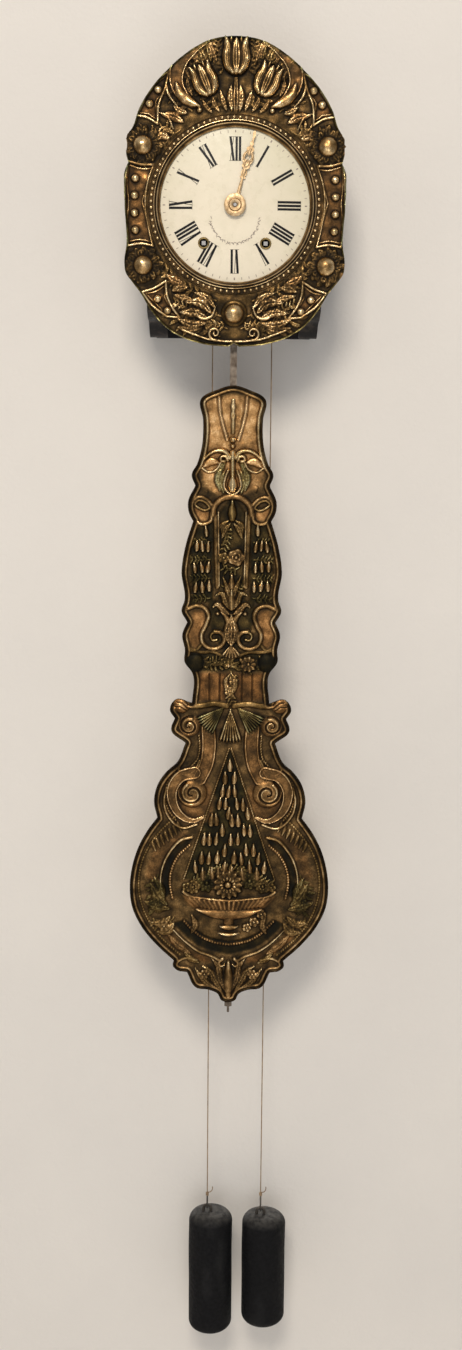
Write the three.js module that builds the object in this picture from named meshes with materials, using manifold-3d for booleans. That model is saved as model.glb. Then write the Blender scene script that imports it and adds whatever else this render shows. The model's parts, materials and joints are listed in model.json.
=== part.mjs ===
// A comtoise wall clock: an iron cage on a wall bracket, two weight-driven trains, an enamel dial in a
// stamped brass fronton, and a long embossed pendulum that hangs in front of the cage.
//
// Lengths are in millimetres. The clock is modelled face on: X runs to the viewer's right, Y up from the
// centre of the dial and Z out from the wall. The group at the end turns it so that Z is up, with its
// origin where the bracket's back board meets the wall.

import * as THREE from 'three';
import { mergeVertices } from 'three/addons/utils/BufferGeometryUtils.js';
import Module from 'manifold-3d';

const wasm = await Module();
wasm.setup();

// Common sizes

const runGap = 0.3; // between neighbours that don't touch
const overrun = 1; // how far a cutter passes the face that it cuts
const weldDistance = 0.0005;
const wireRadius = 1.5;
const deg = Math.PI / 180;
const fineSides = 36;
const roundSides = 16;
const rodSides = 8;
const wireSides = 8;
const drumSides = 12;
const beadSides = 4;

// Wall bracket

const dialAboveMount = 166;
const bracketHalfWidth = 136;
const bracketBottom = -194;
const boardDepth = 18;
const armWidth = 29;
const armReach = 132;
const bracketScrewPlaceShare = 0.44;
const bracketScrewRadius = 3;
const bracketScrewHeadRadius = 6;
const bracketScrewHeadDepth = 3;

// Cage

const cageHalfWidth = 124;
const cageBottom = -138;
const cageTop = 130;
const cageBack = 22;
const cageFront = 158;
const cagePlate = 5;
const pillarSide = 8;
const pillarInset = 5;
const backSheetThickness = 1;
const doorThickness = 1;
const doorHingeInset = 8;
const doorPinRadius = 1.5;
const hookReach = 26;
const hookWidth = 4;
const barThickness = 5;
const backBarBack = 40;
const frontBarBack = 140;
const goingBarLeft = -9;
const goingBarRight = 58;
const strikeBarLeft = -72;
const strikeBarRight = -14;

// Trains

const drumOffset = 47.5;
const drumDrop = 56;
const cordRadius = 1;
const cordRunRadius = 14;
const drumBack = 53;
const drumFront = 119;
const flangeRadius = 20;
const flangeThickness = 3;
const ratchetTeeth = 14;
const ratchetRadius = 14.5;
const ratchetToothHeight = 2.5;
const ratchetThickness = 3;
const wheelThickness = 3;
const arborRadius = 2;
const drumArborRadius = 3;
const windingSquare = 6;
const windingSquareLength = 14;
const pinionLeaves = 6;
const pinionLength = 10;
const greatTeeth = 72;
const greatModule = 1.25;
const secondTeeth = 48;
const thirdTeeth = 45;
const pinWheelTeeth = 42;
const warningTeeth = 36;
const trainModule = 1.5;
const greatWheelBack = 123;
const middleWheelBack = 131;
const upperWheelBack = 106;
const escapeWheelBack = 88;
const secondArborAngle = 116 * deg;
const thirdArborAngle = 100.585 * deg;
const pinArborAngle = 102 * deg;
const warningArborAngle = 97 * deg;
const flyArborAngle = 83 * deg;
const escapeTeeth = 30;
const escapeRadius = 27;
const escapeToothHeight = 5;
const escapeDrop = 39;
const swing = 3 * deg;
const flyLength = 48;
const flyWidth = 36;
const flyThickness = 2.2;
const hammerPinCount = 7;
const clickLength = 15;
const clickPivotRadius = 29;

// Motion work and hands

const transferTeeth = 16;
const cannonLeaves = 8;
const motionTeeth = 24;
const motionLeaves = 8;
const hourTeeth = 32;
const motionWheelThickness = 2.4;
const motionLayer = 3.4;
const motionDistance = 25;
const motionArborAngle = 160 * deg;
const minuteArborRadius = 2.6;
const hourPipeRadius = 4.6;
const handAngle = -15.6 * deg;
const minuteHandLength = 112;
const hourHandLength = 74;
const handThickness = 1.4;
const handGap = 1.2;
const collarRadius = 17;
const collarHeight = 4;

// Dial and fronton

const apertureRadius = 114;
const dialRadius = 121;
const dialBack = 175;
const dialThickness = 3;
const dialDome = 6;
const eyeletRadius = 9;
const eyeletHoleRadius = 6.4;
const dialFootRadius = 2.5;
const bezelRadius = 132.5;
const beadRingRadius = 128;
const beadCount = 92;
const bezelBeadRadius = 2.7;
const frontonBack = 184;
const frontonSheet = 1.6;
const frontonHole = 123;
const frontonHalfWidth = 168;
const frontonRise = 243;
const frontonDrop = 211;
const frontonRimDepth = 9;
const studRadius = 2.5;
const bossRadius = 15.5;
const bossHeight = 10;
const panelBeadRadius = 5;

// Pendulum

const rodBack = 161;
const rodThickness = 3;
const rodWidth = 10.5;
const rodLoopRadius = 19;
const springLength = 16;
const springThickness = 0.5;
const plateGap = 2;
const plateSheet = 1.5;
const plateTop = -270;
const plateHeight = 1022;
const plateHalfWidth = 165;
const plateEdge = 4;
const strapWidth = 12;
const bobRadius = 74;
const bobThickness = 15;
const bobPlaceShare = 0.7926;
const nutRadius = 7;
const nutHeight = 8;
const threadRadius = 2;
const threadLength = 20;
const reliefHeight = 9;
const ridgeWidth = 4;
const ridgeHeight = 4;

// Bell and hammer

const bellRadius = 66;
const bellHeight = 52;
const bellWall = 2.5;
const bellStandRadius = 4;
const bellGap = 12;
const bellDepth = 92;
const hammerOffset = 104;
const hammerDepth = 60;
const hammerHeadRadius = 7;
const hammerHeadLength = 18;

// Weights and cords

const cordDepth = 91;
const cordEnd = -1688;
const cordSteps = 16;
const woundTurns = 2;
const woundPitch = 3.2;
const woundSteps = 24;
const woundSides = 6;
const cordHoleRadius = 8;
const weightRadius = 39;
const weightFillet = 17;
const goingWeightTop = -1723;
const goingWeightHeight = 208;
const strikeWeightTop = -1718;
const strikeWeightHeight = 226;
const stapleWire = 2.6;
const stapleHalfWidth = 9;
const stapleOffset = 6;
const eyeRadius = 3.4;

// Solids

// A closed geometry as a solid, whichever way its faces were wound.
function solid(geometry) {
  const bare = geometry.clone();
  bare.deleteAttribute('normal');
  bare.deleteAttribute('uv');
  const merged = mergeVertices(bare, weldDistance);
  const corners = [];
  for (let i = 0; i < merged.index.count; i += 3) {
    const [a, b, c] = [0, 1, 2].map((k) => merged.index.getX(i + k));
    if (a !== b && b !== c && c !== a) corners.push([a, b, c]);
  }
  const build = (triangles) =>
    new wasm.Manifold(
      new wasm.Mesh({
        numProp: 3,
        vertProperties: merged.attributes.position.array,
        triVerts: new Uint32Array(triangles.flat()),
      }),
    );
  const made = build(corners);
  return made.volume() < 0 ? build(corners.map(([a, b, c]) => [a, c, b])) : made;
}

// A solid back as a geometry with flat faces.
function geometryOf(made) {
  const { numProp, vertProperties, triVerts } = made.getMesh();
  const places = new Float32Array(triVerts.length * 3);
  triVerts.forEach((vertex, i) => {
    for (let k = 0; k < 3; k += 1) places[3 * i + k] = vertProperties[vertex * numProp + k];
  });
  const geometry = new THREE.BufferGeometry();
  geometry.setAttribute('position', new THREE.BufferAttribute(places, 3));
  geometry.computeVertexNormals();
  return geometry;
}

const join = (...solids) => solids.flat().reduce((all, one) => all.add(one));
const cut = (body, ...tools) => tools.flat().reduce((all, one) => all.subtract(one), body);

const box = (x0, x1, y0, y1, z0, z1) => {
  const geometry = new THREE.BoxGeometry(x1 - x0, y1 - y0, z1 - z0);
  return solid(geometry.translate((x0 + x1) / 2, (y0 + y1) / 2, (z0 + z1) / 2));
};

// A flat piece: a shape in the dial's plane, from one depth to another.
const slab = (shape, z0, z1, segments = rodSides) => {
  const options = { depth: z1 - z0, bevelEnabled: false, curveSegments: segments };
  return solid(new THREE.ExtrudeGeometry(shape, options).translate(0, 0, z0));
};

// A round bar along Z.
const bar = (x, y, radius, z0, z1, sides = rodSides) => {
  const geometry = new THREE.CylinderGeometry(radius, radius, z1 - z0, sides);
  return solid(geometry.rotateX(Math.PI / 2).translate(x, y, (z0 + z1) / 2));
};

// A round bar along Y.
const post = (x, z, radius, y0, y1, sides = rodSides) => {
  const geometry = new THREE.CylinderGeometry(radius, radius, y1 - y0, sides);
  return solid(geometry.translate(x, (y0 + y1) / 2, z));
};

// A turned piece round an axis along Z, from a closed profile of [radius, depth] points.
const turned = (profile, sides = roundSides, x = 0, y = 0) => {
  const points = [...profile, profile[0]].map(([r, z]) => new THREE.Vector2(r, z));
  return solid(new THREE.LatheGeometry(points, sides).rotateX(Math.PI / 2).translate(x, y, 0));
};

// A turned piece round an axis along Y, from a closed profile of [radius, height] points.
const spun = (profile, sides, x, z) => {
  const points = [...profile, profile[0]].map(([r, y]) => new THREE.Vector2(r, y));
  return solid(new THREE.LatheGeometry(points, sides).translate(x, 0, z));
};

// A skin over rings of as many points each, with a flat fan over each end.
function loft(rings) {
  const sides = rings[0].length;
  const triangles = [];
  const corner = (ring, side) => rings[ring][side % sides];
  for (let ring = 0; ring < rings.length - 1; ring += 1) {
    for (let side = 0; side < sides; side += 1) {
      const [a, b] = [corner(ring, side), corner(ring, side + 1)];
      const [c, d] = [corner(ring + 1, side), corner(ring + 1, side + 1)];
      triangles.push(a, c, b, b, c, d);
    }
  }
  const last = rings.length - 1;
  for (let side = 1; side < sides - 1; side += 1) {
    triangles.push(corner(0, 0), corner(0, side), corner(0, side + 1));
    triangles.push(corner(last, 0), corner(last, side + 1), corner(last, side));
  }
  return solid(new THREE.BufferGeometry().setFromPoints(triangles));
}

// A round tube along points in space, its section carried along without twist.
function tube(points, radius, sides = wireSides) {
  const places = points.map((p) => new THREE.Vector3(...p));
  const along = (i) => {
    const [from, to] = [places[Math.max(i - 1, 0)], places[Math.min(i + 1, places.length - 1)]];
    return to.clone().sub(from).normalize();
  };
  const first = along(0);
  const helper = Math.abs(first.z) < Math.SQRT1_2 ? new THREE.Vector3(0, 0, 1) : new THREE.Vector3(1, 0, 0);
  let across = helper.cross(first).normalize();
  const rings = places.map((place, i) => {
    const direction = along(i);
    across = across.clone().addScaledVector(direction, -across.dot(direction)).normalize();
    const third = direction.clone().cross(across);
    return Array.from({ length: sides }, (_, side) => {
      const angle = (2 * Math.PI * side) / sides;
      return place
        .clone()
        .addScaledVector(across, radius * Math.cos(angle))
        .addScaledVector(third, radius * Math.sin(angle));
    });
  });
  return loft(rings);
}

// Lines in the dial's plane

const polar = (x, y, radius, angle) => [x + radius * Math.cos(angle), y + radius * Math.sin(angle)];
const times = (count, make) => Array.from({ length: count }, (_, i) => make(i));
const range = (from, to, steps) => times(steps + 1, (i) => from + ((to - from) * i) / steps);
const arc = (x, y, radius, from, to, steps) => range(from, to, steps).map((a) => polar(x, y, radius, a));

// A smooth line through a few points.
function smooth(points, perSpan = 1) {
  const curve = new THREE.CatmullRomCurve3(points.map(([x, y]) => new THREE.Vector3(x, y, 0)));
  return curve.getPoints(perSpan * (points.length - 1)).map((p) => [p.x, p.y]);
}

const shapeOf = (points) => new THREE.Shape(points.map(([x, y]) => new THREE.Vector2(x, y)));

// The whole outline from its right half, given from the top to the bottom.
const bothSides = (half) => [...half, ...half.slice(1, -1).reverse().map(([x, y]) => [-x, y])];

// The runs of an outline, joined end to end.
const runs = (lists) => lists.flatMap((list, i) => list.slice(i === 0 ? 0 : 1));

function sideways(points, i) {
  const [from, to] = [points[Math.max(i - 1, 0)], points[Math.min(i + 1, points.length - 1)]];
  const length = Math.hypot(to[0] - from[0], to[1] - from[1]);
  return [(from[1] - to[1]) / length, (to[0] - from[0]) / length];
}

// A raised rib along a line.
function rib(points, base, width = ridgeWidth, height = ridgeHeight, endShare = 0.4) {
  const rings = points.map(([x, y], i) => {
    const [nx, ny] = sideways(points, i);
    const atEnd = i === 0 || i === points.length - 1;
    const half = (width / 2) * (atEnd ? endShare : 1);
    const top = base + height * (atEnd ? endShare : 1);
    const place = (side, z) => new THREE.Vector3(x + nx * side, y + ny * side, z);
    return [place(-half, base - runGap), place(half, base - runGap), place(0, top)];
  });
  return loft(rings);
}

// A leaf or petal along a line: a keeled blade whose half-widths are shares of its width.
function leaf(points, base, width, height, widthShares = [0.35, 0.9, 1, 0.7, 0.06]) {
  const count = points.length - 1;
  const share = (i) => {
    const place = (i / count) * (widthShares.length - 1);
    const before = Math.min(Math.floor(place), widthShares.length - 2);
    return widthShares[before] + (widthShares[before + 1] - widthShares[before]) * (place - before);
  };
  const rings = points.map(([x, y], i) => {
    const [nx, ny] = sideways(points, i);
    const half = (width / 2) * share(i);
    const place = (side, z) => new THREE.Vector3(x + nx * side, y + ny * side, z);
    const keel = base + height * Math.sqrt(share(i));
    return [place(-half, base - runGap), place(half, base - runGap), place(0, keel)];
  });
  return loft(rings);
}

// A bead or boss: a dome with its foot just under the surface that it stands on.
function dome(x, y, radius, base, height = radius, sides = wireSides, levels = 2) {
  const crown = range(0, Math.PI / 2, levels).map((a) => [radius * Math.cos(a), base + height * Math.sin(a)]);
  const foot = base - runGap;
  return turned([[0, foot], [radius, foot], ...crown.slice(0, -1), [0, base + height]], sides, x, y);
}

// A scroll: a rib that winds in to a small dome.
function scroll(x, y, radius, start, turns, base, width = ridgeWidth, height = ridgeHeight) {
  const steps = Math.ceil(Math.abs(turns) * 5);
  const line = times(steps + 1, (i) => {
    const share = i / steps;
    return polar(x, y, radius * (1 - 0.72 * share), start + 2 * Math.PI * turns * share);
  });
  return [rib(line, base, width, height), dome(x, y, radius * 0.3, base, height * 1.2, 5, 1)];
}

// Toothed wheels

const pitchRadius = (teeth, module) => (teeth * module) / 2;
const meshDistance = (teeth, leaves, module) => pitchRadius(teeth + leaves, module);
const addendumShare = 0.75;
const dedendumShare = 1.05;
const leafRootShare = 0.44;

// The outline of a wheel of pointed teeth, with a tooth, or a gap, facing the angle given.
function wheelShape(teeth, module, facing, gapFaces = false) {
  const pitch = (2 * Math.PI) / teeth;
  const radius = pitchRadius(teeth, module);
  const root = radius - dedendumShare * module;
  const halfRoot = (pitch * leafRootShare) / 2;
  const points = times(teeth, (i) => {
    const centre = facing + pitch * (i + (gapFaces ? 0.5 : 0));
    const tip = polar(0, 0, radius + addendumShare * module, centre);
    if (teeth > cannonLeaves) return [tip, polar(0, 0, root, centre + pitch / 2)];
    return [polar(0, 0, root, centre - halfRoot), tip, polar(0, 0, root, centre + halfRoot)];
  });
  return shapeOf(points.flat());
}

// Wedge-shaped windows that leave spokes between hub and rim.
function addWindows(shape, inner, outer, spokes, spokeWidth) {
  for (let i = 0; i < spokes; i += 1) {
    const start = (2 * Math.PI * i) / spokes;
    const end = start + (2 * Math.PI) / spokes;
    const [halfInner, halfOuter] = [spokeWidth / inner / 2, spokeWidth / outer / 2];
    const edge = [
      ...arc(0, 0, outer, start + halfOuter, end - halfOuter, 2),
      ...arc(0, 0, inner, end - halfInner, start + halfInner, 1),
    ];
    shape.holes.push(new THREE.Path(edge.map(([x, y]) => new THREE.Vector2(x, y))));
  }
  return shape;
}

const angleTo = ([ax, ay], [bx, by]) => Math.atan2(by - ay, bx - ax);

// A wheel with crossings, moved to its arbor.
function wheel(place, teeth, module, facing, back, thickness = wheelThickness, spokes = 4) {
  const root = pitchRadius(teeth, module) - dedendumShare * module;
  const shape = wheelShape(teeth, module, facing);
  if (spokes) addWindows(shape, root * 0.3, root * 0.82, spokes, root * 0.16);
  return slab(shape, back, back + thickness).translate([...place, 0]);
}

// A thin wheel without crossings, as the motion work has.
const flatWheel = (place, teeth, module, facing, back) =>
  wheel(place, teeth, module, facing, back, motionWheelThickness, 0);

const pinion = (place, leaves, module, facing, back, length) =>
  slab(wheelShape(leaves, module, facing, true), back, back + length).translate([...place, 0]);

// Where the arbors stand

const goingDrumPlace = [drumOffset, -drumDrop];
const strikeDrumPlace = [-drumOffset, -drumDrop];
const greatDistance = meshDistance(greatTeeth, pinionLeaves, greatModule);
const secondPlace = polar(...goingDrumPlace, greatDistance, secondArborAngle);
const thirdDistance = meshDistance(secondTeeth, pinionLeaves, trainModule);
const thirdPlace = polar(...secondPlace, thirdDistance, thirdArborAngle);
const escapePlace = [0, thirdPlace[1] + escapeRise()];
const anchorHeight = escapePlace[1] + escapeDrop;
const pinPlace = polar(...strikeDrumPlace, greatDistance, pinArborAngle);
const warningDistance = meshDistance(pinWheelTeeth, pinionLeaves, trainModule);
const warningPlace = polar(...pinPlace, warningDistance, warningArborAngle);
const flyDistance = meshDistance(warningTeeth, pinionLeaves, trainModule);
const flyPlace = polar(...warningPlace, flyDistance, flyArborAngle);
const motionPlace = polar(0, 0, motionDistance, motionArborAngle);

// How far the escape arbor, on the middle line, stands above the third arbor that drives it.
function escapeRise() {
  const toEscape = meshDistance(thirdTeeth, pinionLeaves, trainModule);
  return Math.sqrt(toEscape ** 2 - thirdPlace[0] ** 2);
}

// Cage

const barBottom = cageBottom + cagePlate;
const barTop = cageTop - cagePlate;
const frontBarFront = frontBarBack + barThickness;
const holeSides = 8;
const arborHole = (place, radius, z0, z1) =>
  bar(...place, radius + 2 * runGap, z0 - overrun, z1 + overrun, holeSides);

function cagePlateSolid(bottom, holes) {
  const plate = box(-cageHalfWidth, cageHalfWidth, bottom, bottom + cagePlate, cageBack, cageFront);
  return cut(plate, holes);
}

const doorLine = cageHalfWidth - pillarInset + runGap + doorPinRadius;
const doorHinges = [-1, 1].map((side) => [side * doorLine, cageBack + doorHingeInset]);
const uprightHole = (x, z, radius, bottom) =>
  post(x, z, radius, bottom - overrun, bottom + cagePlate + overrun, rodSides);
const cordX = [drumOffset + cordRunRadius, -drumOffset + cordRunRadius];

const topPlate = cagePlateSolid(barTop, [
  ...doorHinges.map(([x, z]) => uprightHole(x, z, doorPinRadius + runGap, barTop)),
  uprightHole(-hammerOffset, hammerDepth, arborRadius + runGap, barTop),
]);

// Four square pillars, riveted into the bottom plate.
function pillars() {
  const outer = cageHalfWidth - pillarInset;
  const depths = [cageBack + pillarInset, cageFront - pillarInset - pillarSide];
  return [-1, 1].flatMap((side) =>
    depths.map((z) => {
      const [x0, x1] = [side * outer, side * (outer - pillarSide)].sort((a, b) => a - b);
      return box(x0, x1, cageBottom + cagePlate / 2, barTop, z, z + pillarSide);
    }),
  );
}

// Studs on the front pillars carry the fronton.
function frontonStuds() {
  const x = cageHalfWidth - pillarInset - pillarSide / 2;
  const ys = [barTop * 0.72, barBottom * 0.68];
  const z0 = cageFront - pillarInset - pillarSide / 2;
  return [-x, x].flatMap((place) => ys.map((y) => bar(place, y, studRadius, z0, frontonBack, wireSides)));
}

// Short pins on the front pillars, one for each door's hook.
const hookHeight = 0.5 * (cageTop + cageBottom) + hookReach;
const hookPinDepth = cageFront - pillarInset - pillarSide / 2;
const doorFace = doorLine + doorThickness / 2;

function hookPins() {
  return [-1, 1].map((side) => {
    const inner = cageHalfWidth - pillarInset - runGap;
    const length = doorFace + 3 * wireRadius - inner;
    const geometry = new THREE.CylinderGeometry(wireRadius, wireRadius, length, wireSides);
    const place = [side * (inner + length / 2), hookHeight, hookPinDepth];
    return solid(geometry.rotateZ(Math.PI / 2).translate(...place));
  });
}

const cageFrame = join(
  cagePlateSolid(cageBottom, [
    ...doorHinges.map(([x, z]) => uprightHole(x, z, doorPinRadius + runGap, cageBottom)),
    ...cordX.map((x) => uprightHole(x, cordDepth, cordHoleRadius, cageBottom)),
    uprightHole(-hammerOffset, hammerDepth, arborRadius + runGap, cageBottom),
  ]),
  pillars(),
  frontonStuds(),
  hookPins(),
);

const doorFront = cageFront - pillarInset - pillarSide - 2 * runGap;

function door(side) {
  const [hingeX, hingeZ] = doorHinges[side < 0 ? 0 : 1];
  const half = doorThickness / 2;
  const sheet = box(hingeX - half, hingeX + half, barBottom + runGap, barTop - runGap, hingeZ, doorFront);
  const pin = post(hingeX, hingeZ, doorPinRadius, cageBottom + runGap, cageTop - runGap);
  return join(sheet, pin);
}

// A flat hook on the door's outside, whose notch drops over the pin on the front pillar.
function doorHook(side) {
  const pivotZ = hookPinDepth - hookReach;
  const shape = shapeOf([
    [-hookWidth, -hookWidth / 2],
    [hookReach - hookWidth, -hookWidth / 2],
    [hookReach - wireRadius - 2 * runGap, -hookWidth / 2],
    [hookReach - wireRadius - 2 * runGap, wireRadius + runGap],
    [hookReach + wireRadius + 2 * runGap, wireRadius + runGap],
    [hookReach + wireRadius + 2 * runGap, -hookWidth / 2],
    [hookReach + hookWidth, -hookWidth / 2],
    [hookReach + hookWidth, hookWidth],
    [-hookWidth, hookWidth / 2],
  ]);
  const options = { depth: doorThickness, bevelEnabled: false };
  const flat = new THREE.ExtrudeGeometry(shape, options).rotateY(-Math.PI / 2);
  const outer = doorFace + runGap;
  const x = side > 0 ? outer + doorThickness : -outer;
  return solid(flat.translate(x, hookHeight, pivotZ));
}

const backSheetBack = cageBack + pillarInset - runGap - backSheetThickness;
const backSheetSide = cageHalfWidth - pillarInset - pillarSide;
const backSheet = box(
  -backSheetSide - pillarSide / 2,
  backSheetSide + pillarSide / 2,
  barBottom + runGap,
  barTop - runGap,
  backSheetBack,
  backSheetBack + backSheetThickness,
);

// A movement bar with its top and bottom drawn in, and a hole for each arbor.
function movementBar(left, right, back, holes) {
  const tab = (right - left) * 0.28;
  const shoulder = (barTop - barBottom) * 0.04;
  const shape = shapeOf([
    [left + tab, barBottom],
    [right - tab, barBottom],
    [right - tab, barBottom + shoulder],
    [right, barBottom + shoulder * 2],
    [right, barTop - shoulder * 5],
    [right - tab, barTop],
    [left + tab / 2, barTop],
    [left, barTop - shoulder],
    [left, barBottom + shoulder * 2],
    [left + tab, barBottom + shoulder],
  ]);
  const front = back + barThickness;
  const bores = holes.map(([place, radius]) => arborHole(place, radius, back, front));
  return cut(slab(shape, back, front), bores);
}

const trainHoles = (drumPlace, places) => [
  [drumPlace, drumArborRadius],
  ...places.map((place) => [place, arborRadius]),
];
const goingHoles = trainHoles(goingDrumPlace, [secondPlace, thirdPlace, escapePlace, [0, anchorHeight]]);
const strikeHoles = trainHoles(strikeDrumPlace, [pinPlace, warningPlace, flyPlace]);
const goingFrontHoles = [...goingHoles, [[0, 0], minuteArborRadius]];
const motionStudEnd = frontBarFront + 3 * motionLayer + runGap;

const goingFrontBar = movementBar(goingBarLeft, goingBarRight, frontBarBack, goingFrontHoles);
const goingBackBar = movementBar(goingBarLeft, goingBarRight, backBarBack, goingHoles);
const strikeBackBar = movementBar(strikeBarLeft, strikeBarRight, backBarBack, strikeHoles);
const strikeFrontBar = join(
  movementBar(strikeBarLeft, strikeBarRight, frontBarBack, strikeHoles),
  bar(...motionPlace, arborRadius, frontBarFront - overrun, motionStudEnd, wireSides),
);

// Drums and great wheels

const arborBack = backBarBack;
const barrelRadius = cordRunRadius - cordRadius - runGap;
const squareStart = dialBack - windingSquareLength / 2;

function ratchetShape() {
  const pitch = (2 * Math.PI) / ratchetTeeth;
  const points = times(ratchetTeeth, (i) => [
    polar(0, 0, ratchetRadius, i * pitch),
    polar(0, 0, ratchetRadius - ratchetToothHeight, i * pitch + pitch * 0.08),
  ]);
  return shapeOf(points.flat());
}

function drum(place) {
  const body = turned(
    [
      [0, drumBack],
      [flangeRadius, drumBack],
      [flangeRadius, drumBack + flangeThickness],
      [barrelRadius, drumBack + flangeThickness],
      [barrelRadius, drumFront - flangeThickness],
      [flangeRadius, drumFront - flangeThickness],
      [flangeRadius, drumFront],
      [0, drumFront],
    ],
    drumSides,
  );
  const ratchet = slab(ratchetShape(), drumFront - overrun, drumFront + ratchetThickness);
  const arbor = bar(0, 0, drumArborRadius, arborBack, squareStart);
  const half = windingSquare / 2;
  const square = box(-half, half, -half, half, squareStart - overrun, squareStart + windingSquareLength);
  return join(body, ratchet, arbor, square).translate([...place, 0]);
}

const clickPivot = polar(0, 0, clickPivotRadius, 0);

// The great wheel runs on the drum's arbor, with a hub in front of its rim.
function greatWheel(place, facing) {
  const root = pitchRadius(greatTeeth, greatModule) - dedendumShare * greatModule;
  const shape = wheelShape(greatTeeth, greatModule, facing);
  addWindows(shape, root * 0.32, root * 0.84, 4, root * 0.17);
  const rim = slab(shape, greatWheelBack, greatWheelBack + wheelThickness);
  const hub = bar(0, 0, root * 0.18, greatWheelBack + wheelThickness / 2, frontBarBack - runGap, rodSides);
  const studBack = drumFront + 2 * runGap;
  const studFront = greatWheelBack + wheelThickness / 2;
  const stud = bar(...clickPivot, wireRadius, studBack, studFront, wireSides);
  const bore = arborHole([0, 0], drumArborRadius, greatWheelBack, frontBarBack);
  return join(cut(join(rim, hub), bore), stud).translate([...place, 0]);
}

// The click turns on a stud of the great wheel and lies along the ratchet.
function click(place) {
  const [px, py] = clickPivot;
  const tipAngle = clickLength / clickPivotRadius;
  const underside = arc(0, 0, ratchetRadius + 3 * runGap, tipAngle, tipAngle / 3, 2);
  const [tip] = underside;
  const inward = angleTo(clickPivot, tip);
  const half = 2 * wireRadius;
  const ring = arc(px, py, half, inward + Math.PI / 2, inward + 1.5 * Math.PI, 6);
  const shoulder = polar(...tip, half, inward - Math.PI * 0.7);
  const shape = shapeOf([...ring, shoulder, ...underside]);
  const hole = bar(px, py, wireRadius + 1.5 * runGap, drumFront, greatWheelBack, rodSides);
  const body = slab(shape, drumFront + runGap, greatWheelBack - runGap);
  return cut(body, hole).translate([...place, 0]);
}

// An arbor with its pinion and its wheel.
function wheelAndPinion({ place, back, teeth, facing, pinionBack, pinionFacing, module, front }) {
  const arbor = bar(...place, arborRadius, arborBack, front);
  const rim = wheel(place, teeth, trainModule, facing, back);
  const hub = bar(...place, arborRadius * 2.6, back - wheelThickness / 2, back + wheelThickness * 1.5);
  const leaves = pinion(place, pinionLeaves, module, pinionFacing, pinionBack, pinionLength);
  return join(arbor, rim, hub, leaves);
}

const upperPinionBack = upperWheelBack - (pinionLength - wheelThickness) / 2;
const transferModule = (2 * Math.hypot(...secondPlace)) / (2 * transferTeeth);
const motionBack = frontBarFront + 2 * runGap;

const secondWheel = join(
  wheelAndPinion({
    place: secondPlace,
    back: middleWheelBack,
    teeth: secondTeeth,
    facing: angleTo(secondPlace, thirdPlace),
    pinionBack: greatWheelBack - wheelThickness,
    pinionFacing: angleTo(secondPlace, goingDrumPlace),
    module: greatModule,
    front: motionBack + motionWheelThickness,
  }),
  flatWheel(secondPlace, transferTeeth, transferModule, angleTo(secondPlace, [0, 0]), motionBack),
);

const thirdWheel = wheelAndPinion({
  place: thirdPlace,
  back: upperWheelBack,
  teeth: thirdTeeth,
  facing: angleTo(thirdPlace, escapePlace),
  pinionBack: frontBarBack - pinionLength - wheelThickness,
  pinionFacing: angleTo(thirdPlace, secondPlace),
  module: trainModule,
  front: frontBarFront,
});

function escapeWheelSolid() {
  const pitch = (2 * Math.PI) / escapeTeeth;
  const points = times(escapeTeeth, (i) => [
    polar(0, 0, escapeRadius, i * pitch),
    polar(0, 0, escapeRadius - escapeToothHeight, i * pitch + pitch * 0.45),
  ]);
  const shape = shapeOf(points.flat());
  const root = escapeRadius - escapeToothHeight;
  addWindows(shape, root * 0.34, root * 0.8, 4, root * 0.2);
  const rim = slab(shape, escapeWheelBack, escapeWheelBack + wheelThickness).translate([...escapePlace, 0]);
  const facing = angleTo(escapePlace, thirdPlace);
  const leaves = pinion(escapePlace, pinionLeaves, trainModule, facing, upperPinionBack, pinionLength);
  return join(rim, leaves, bar(...escapePlace, arborRadius, arborBack, frontBarFront));
}

// The anchor is a band round the top of the escape wheel, clear of it through the whole swing.
const bandInner = escapeRadius + escapeDrop * Math.sin(swing) * 0.78 + runGap;
const bandOuter = bandInner + escapeToothHeight;
const bandHalfAngle = 42 * deg;

function anchorSolid() {
  const up = Math.PI / 2;
  const hub = arborRadius * 2.6;
  const shape = shapeOf([
    ...arc(0, -escapeDrop, bandInner, up - bandHalfAngle, up + bandHalfAngle, 10),
    ...arc(0, -escapeDrop, bandOuter, up + bandHalfAngle, up + bandHalfAngle / 6, 4),
    ...arc(0, 0, hub, Math.PI, 0, 6),
    ...arc(0, -escapeDrop, bandOuter, up - bandHalfAngle / 6, up - bandHalfAngle, 4),
  ]);
  const [back, front] = [escapeWheelBack - wheelThickness / 2, escapeWheelBack + wheelThickness * 1.5];
  const arbor = bar(0, 0, arborRadius, arborBack, crutchFront);
  return join(slab(shape, back, front), arbor).translate([0, anchorHeight, 0]);
}

const crutchBack = frontBarFront + 2 * runGap;
const crutchThickness = 2.4;
const crutchFront = crutchBack + crutchThickness;
const crutchLength = 50;
const crutchWidth = 6;
const prongWidth = 2.4;
const forkGap = 0.5;

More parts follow.
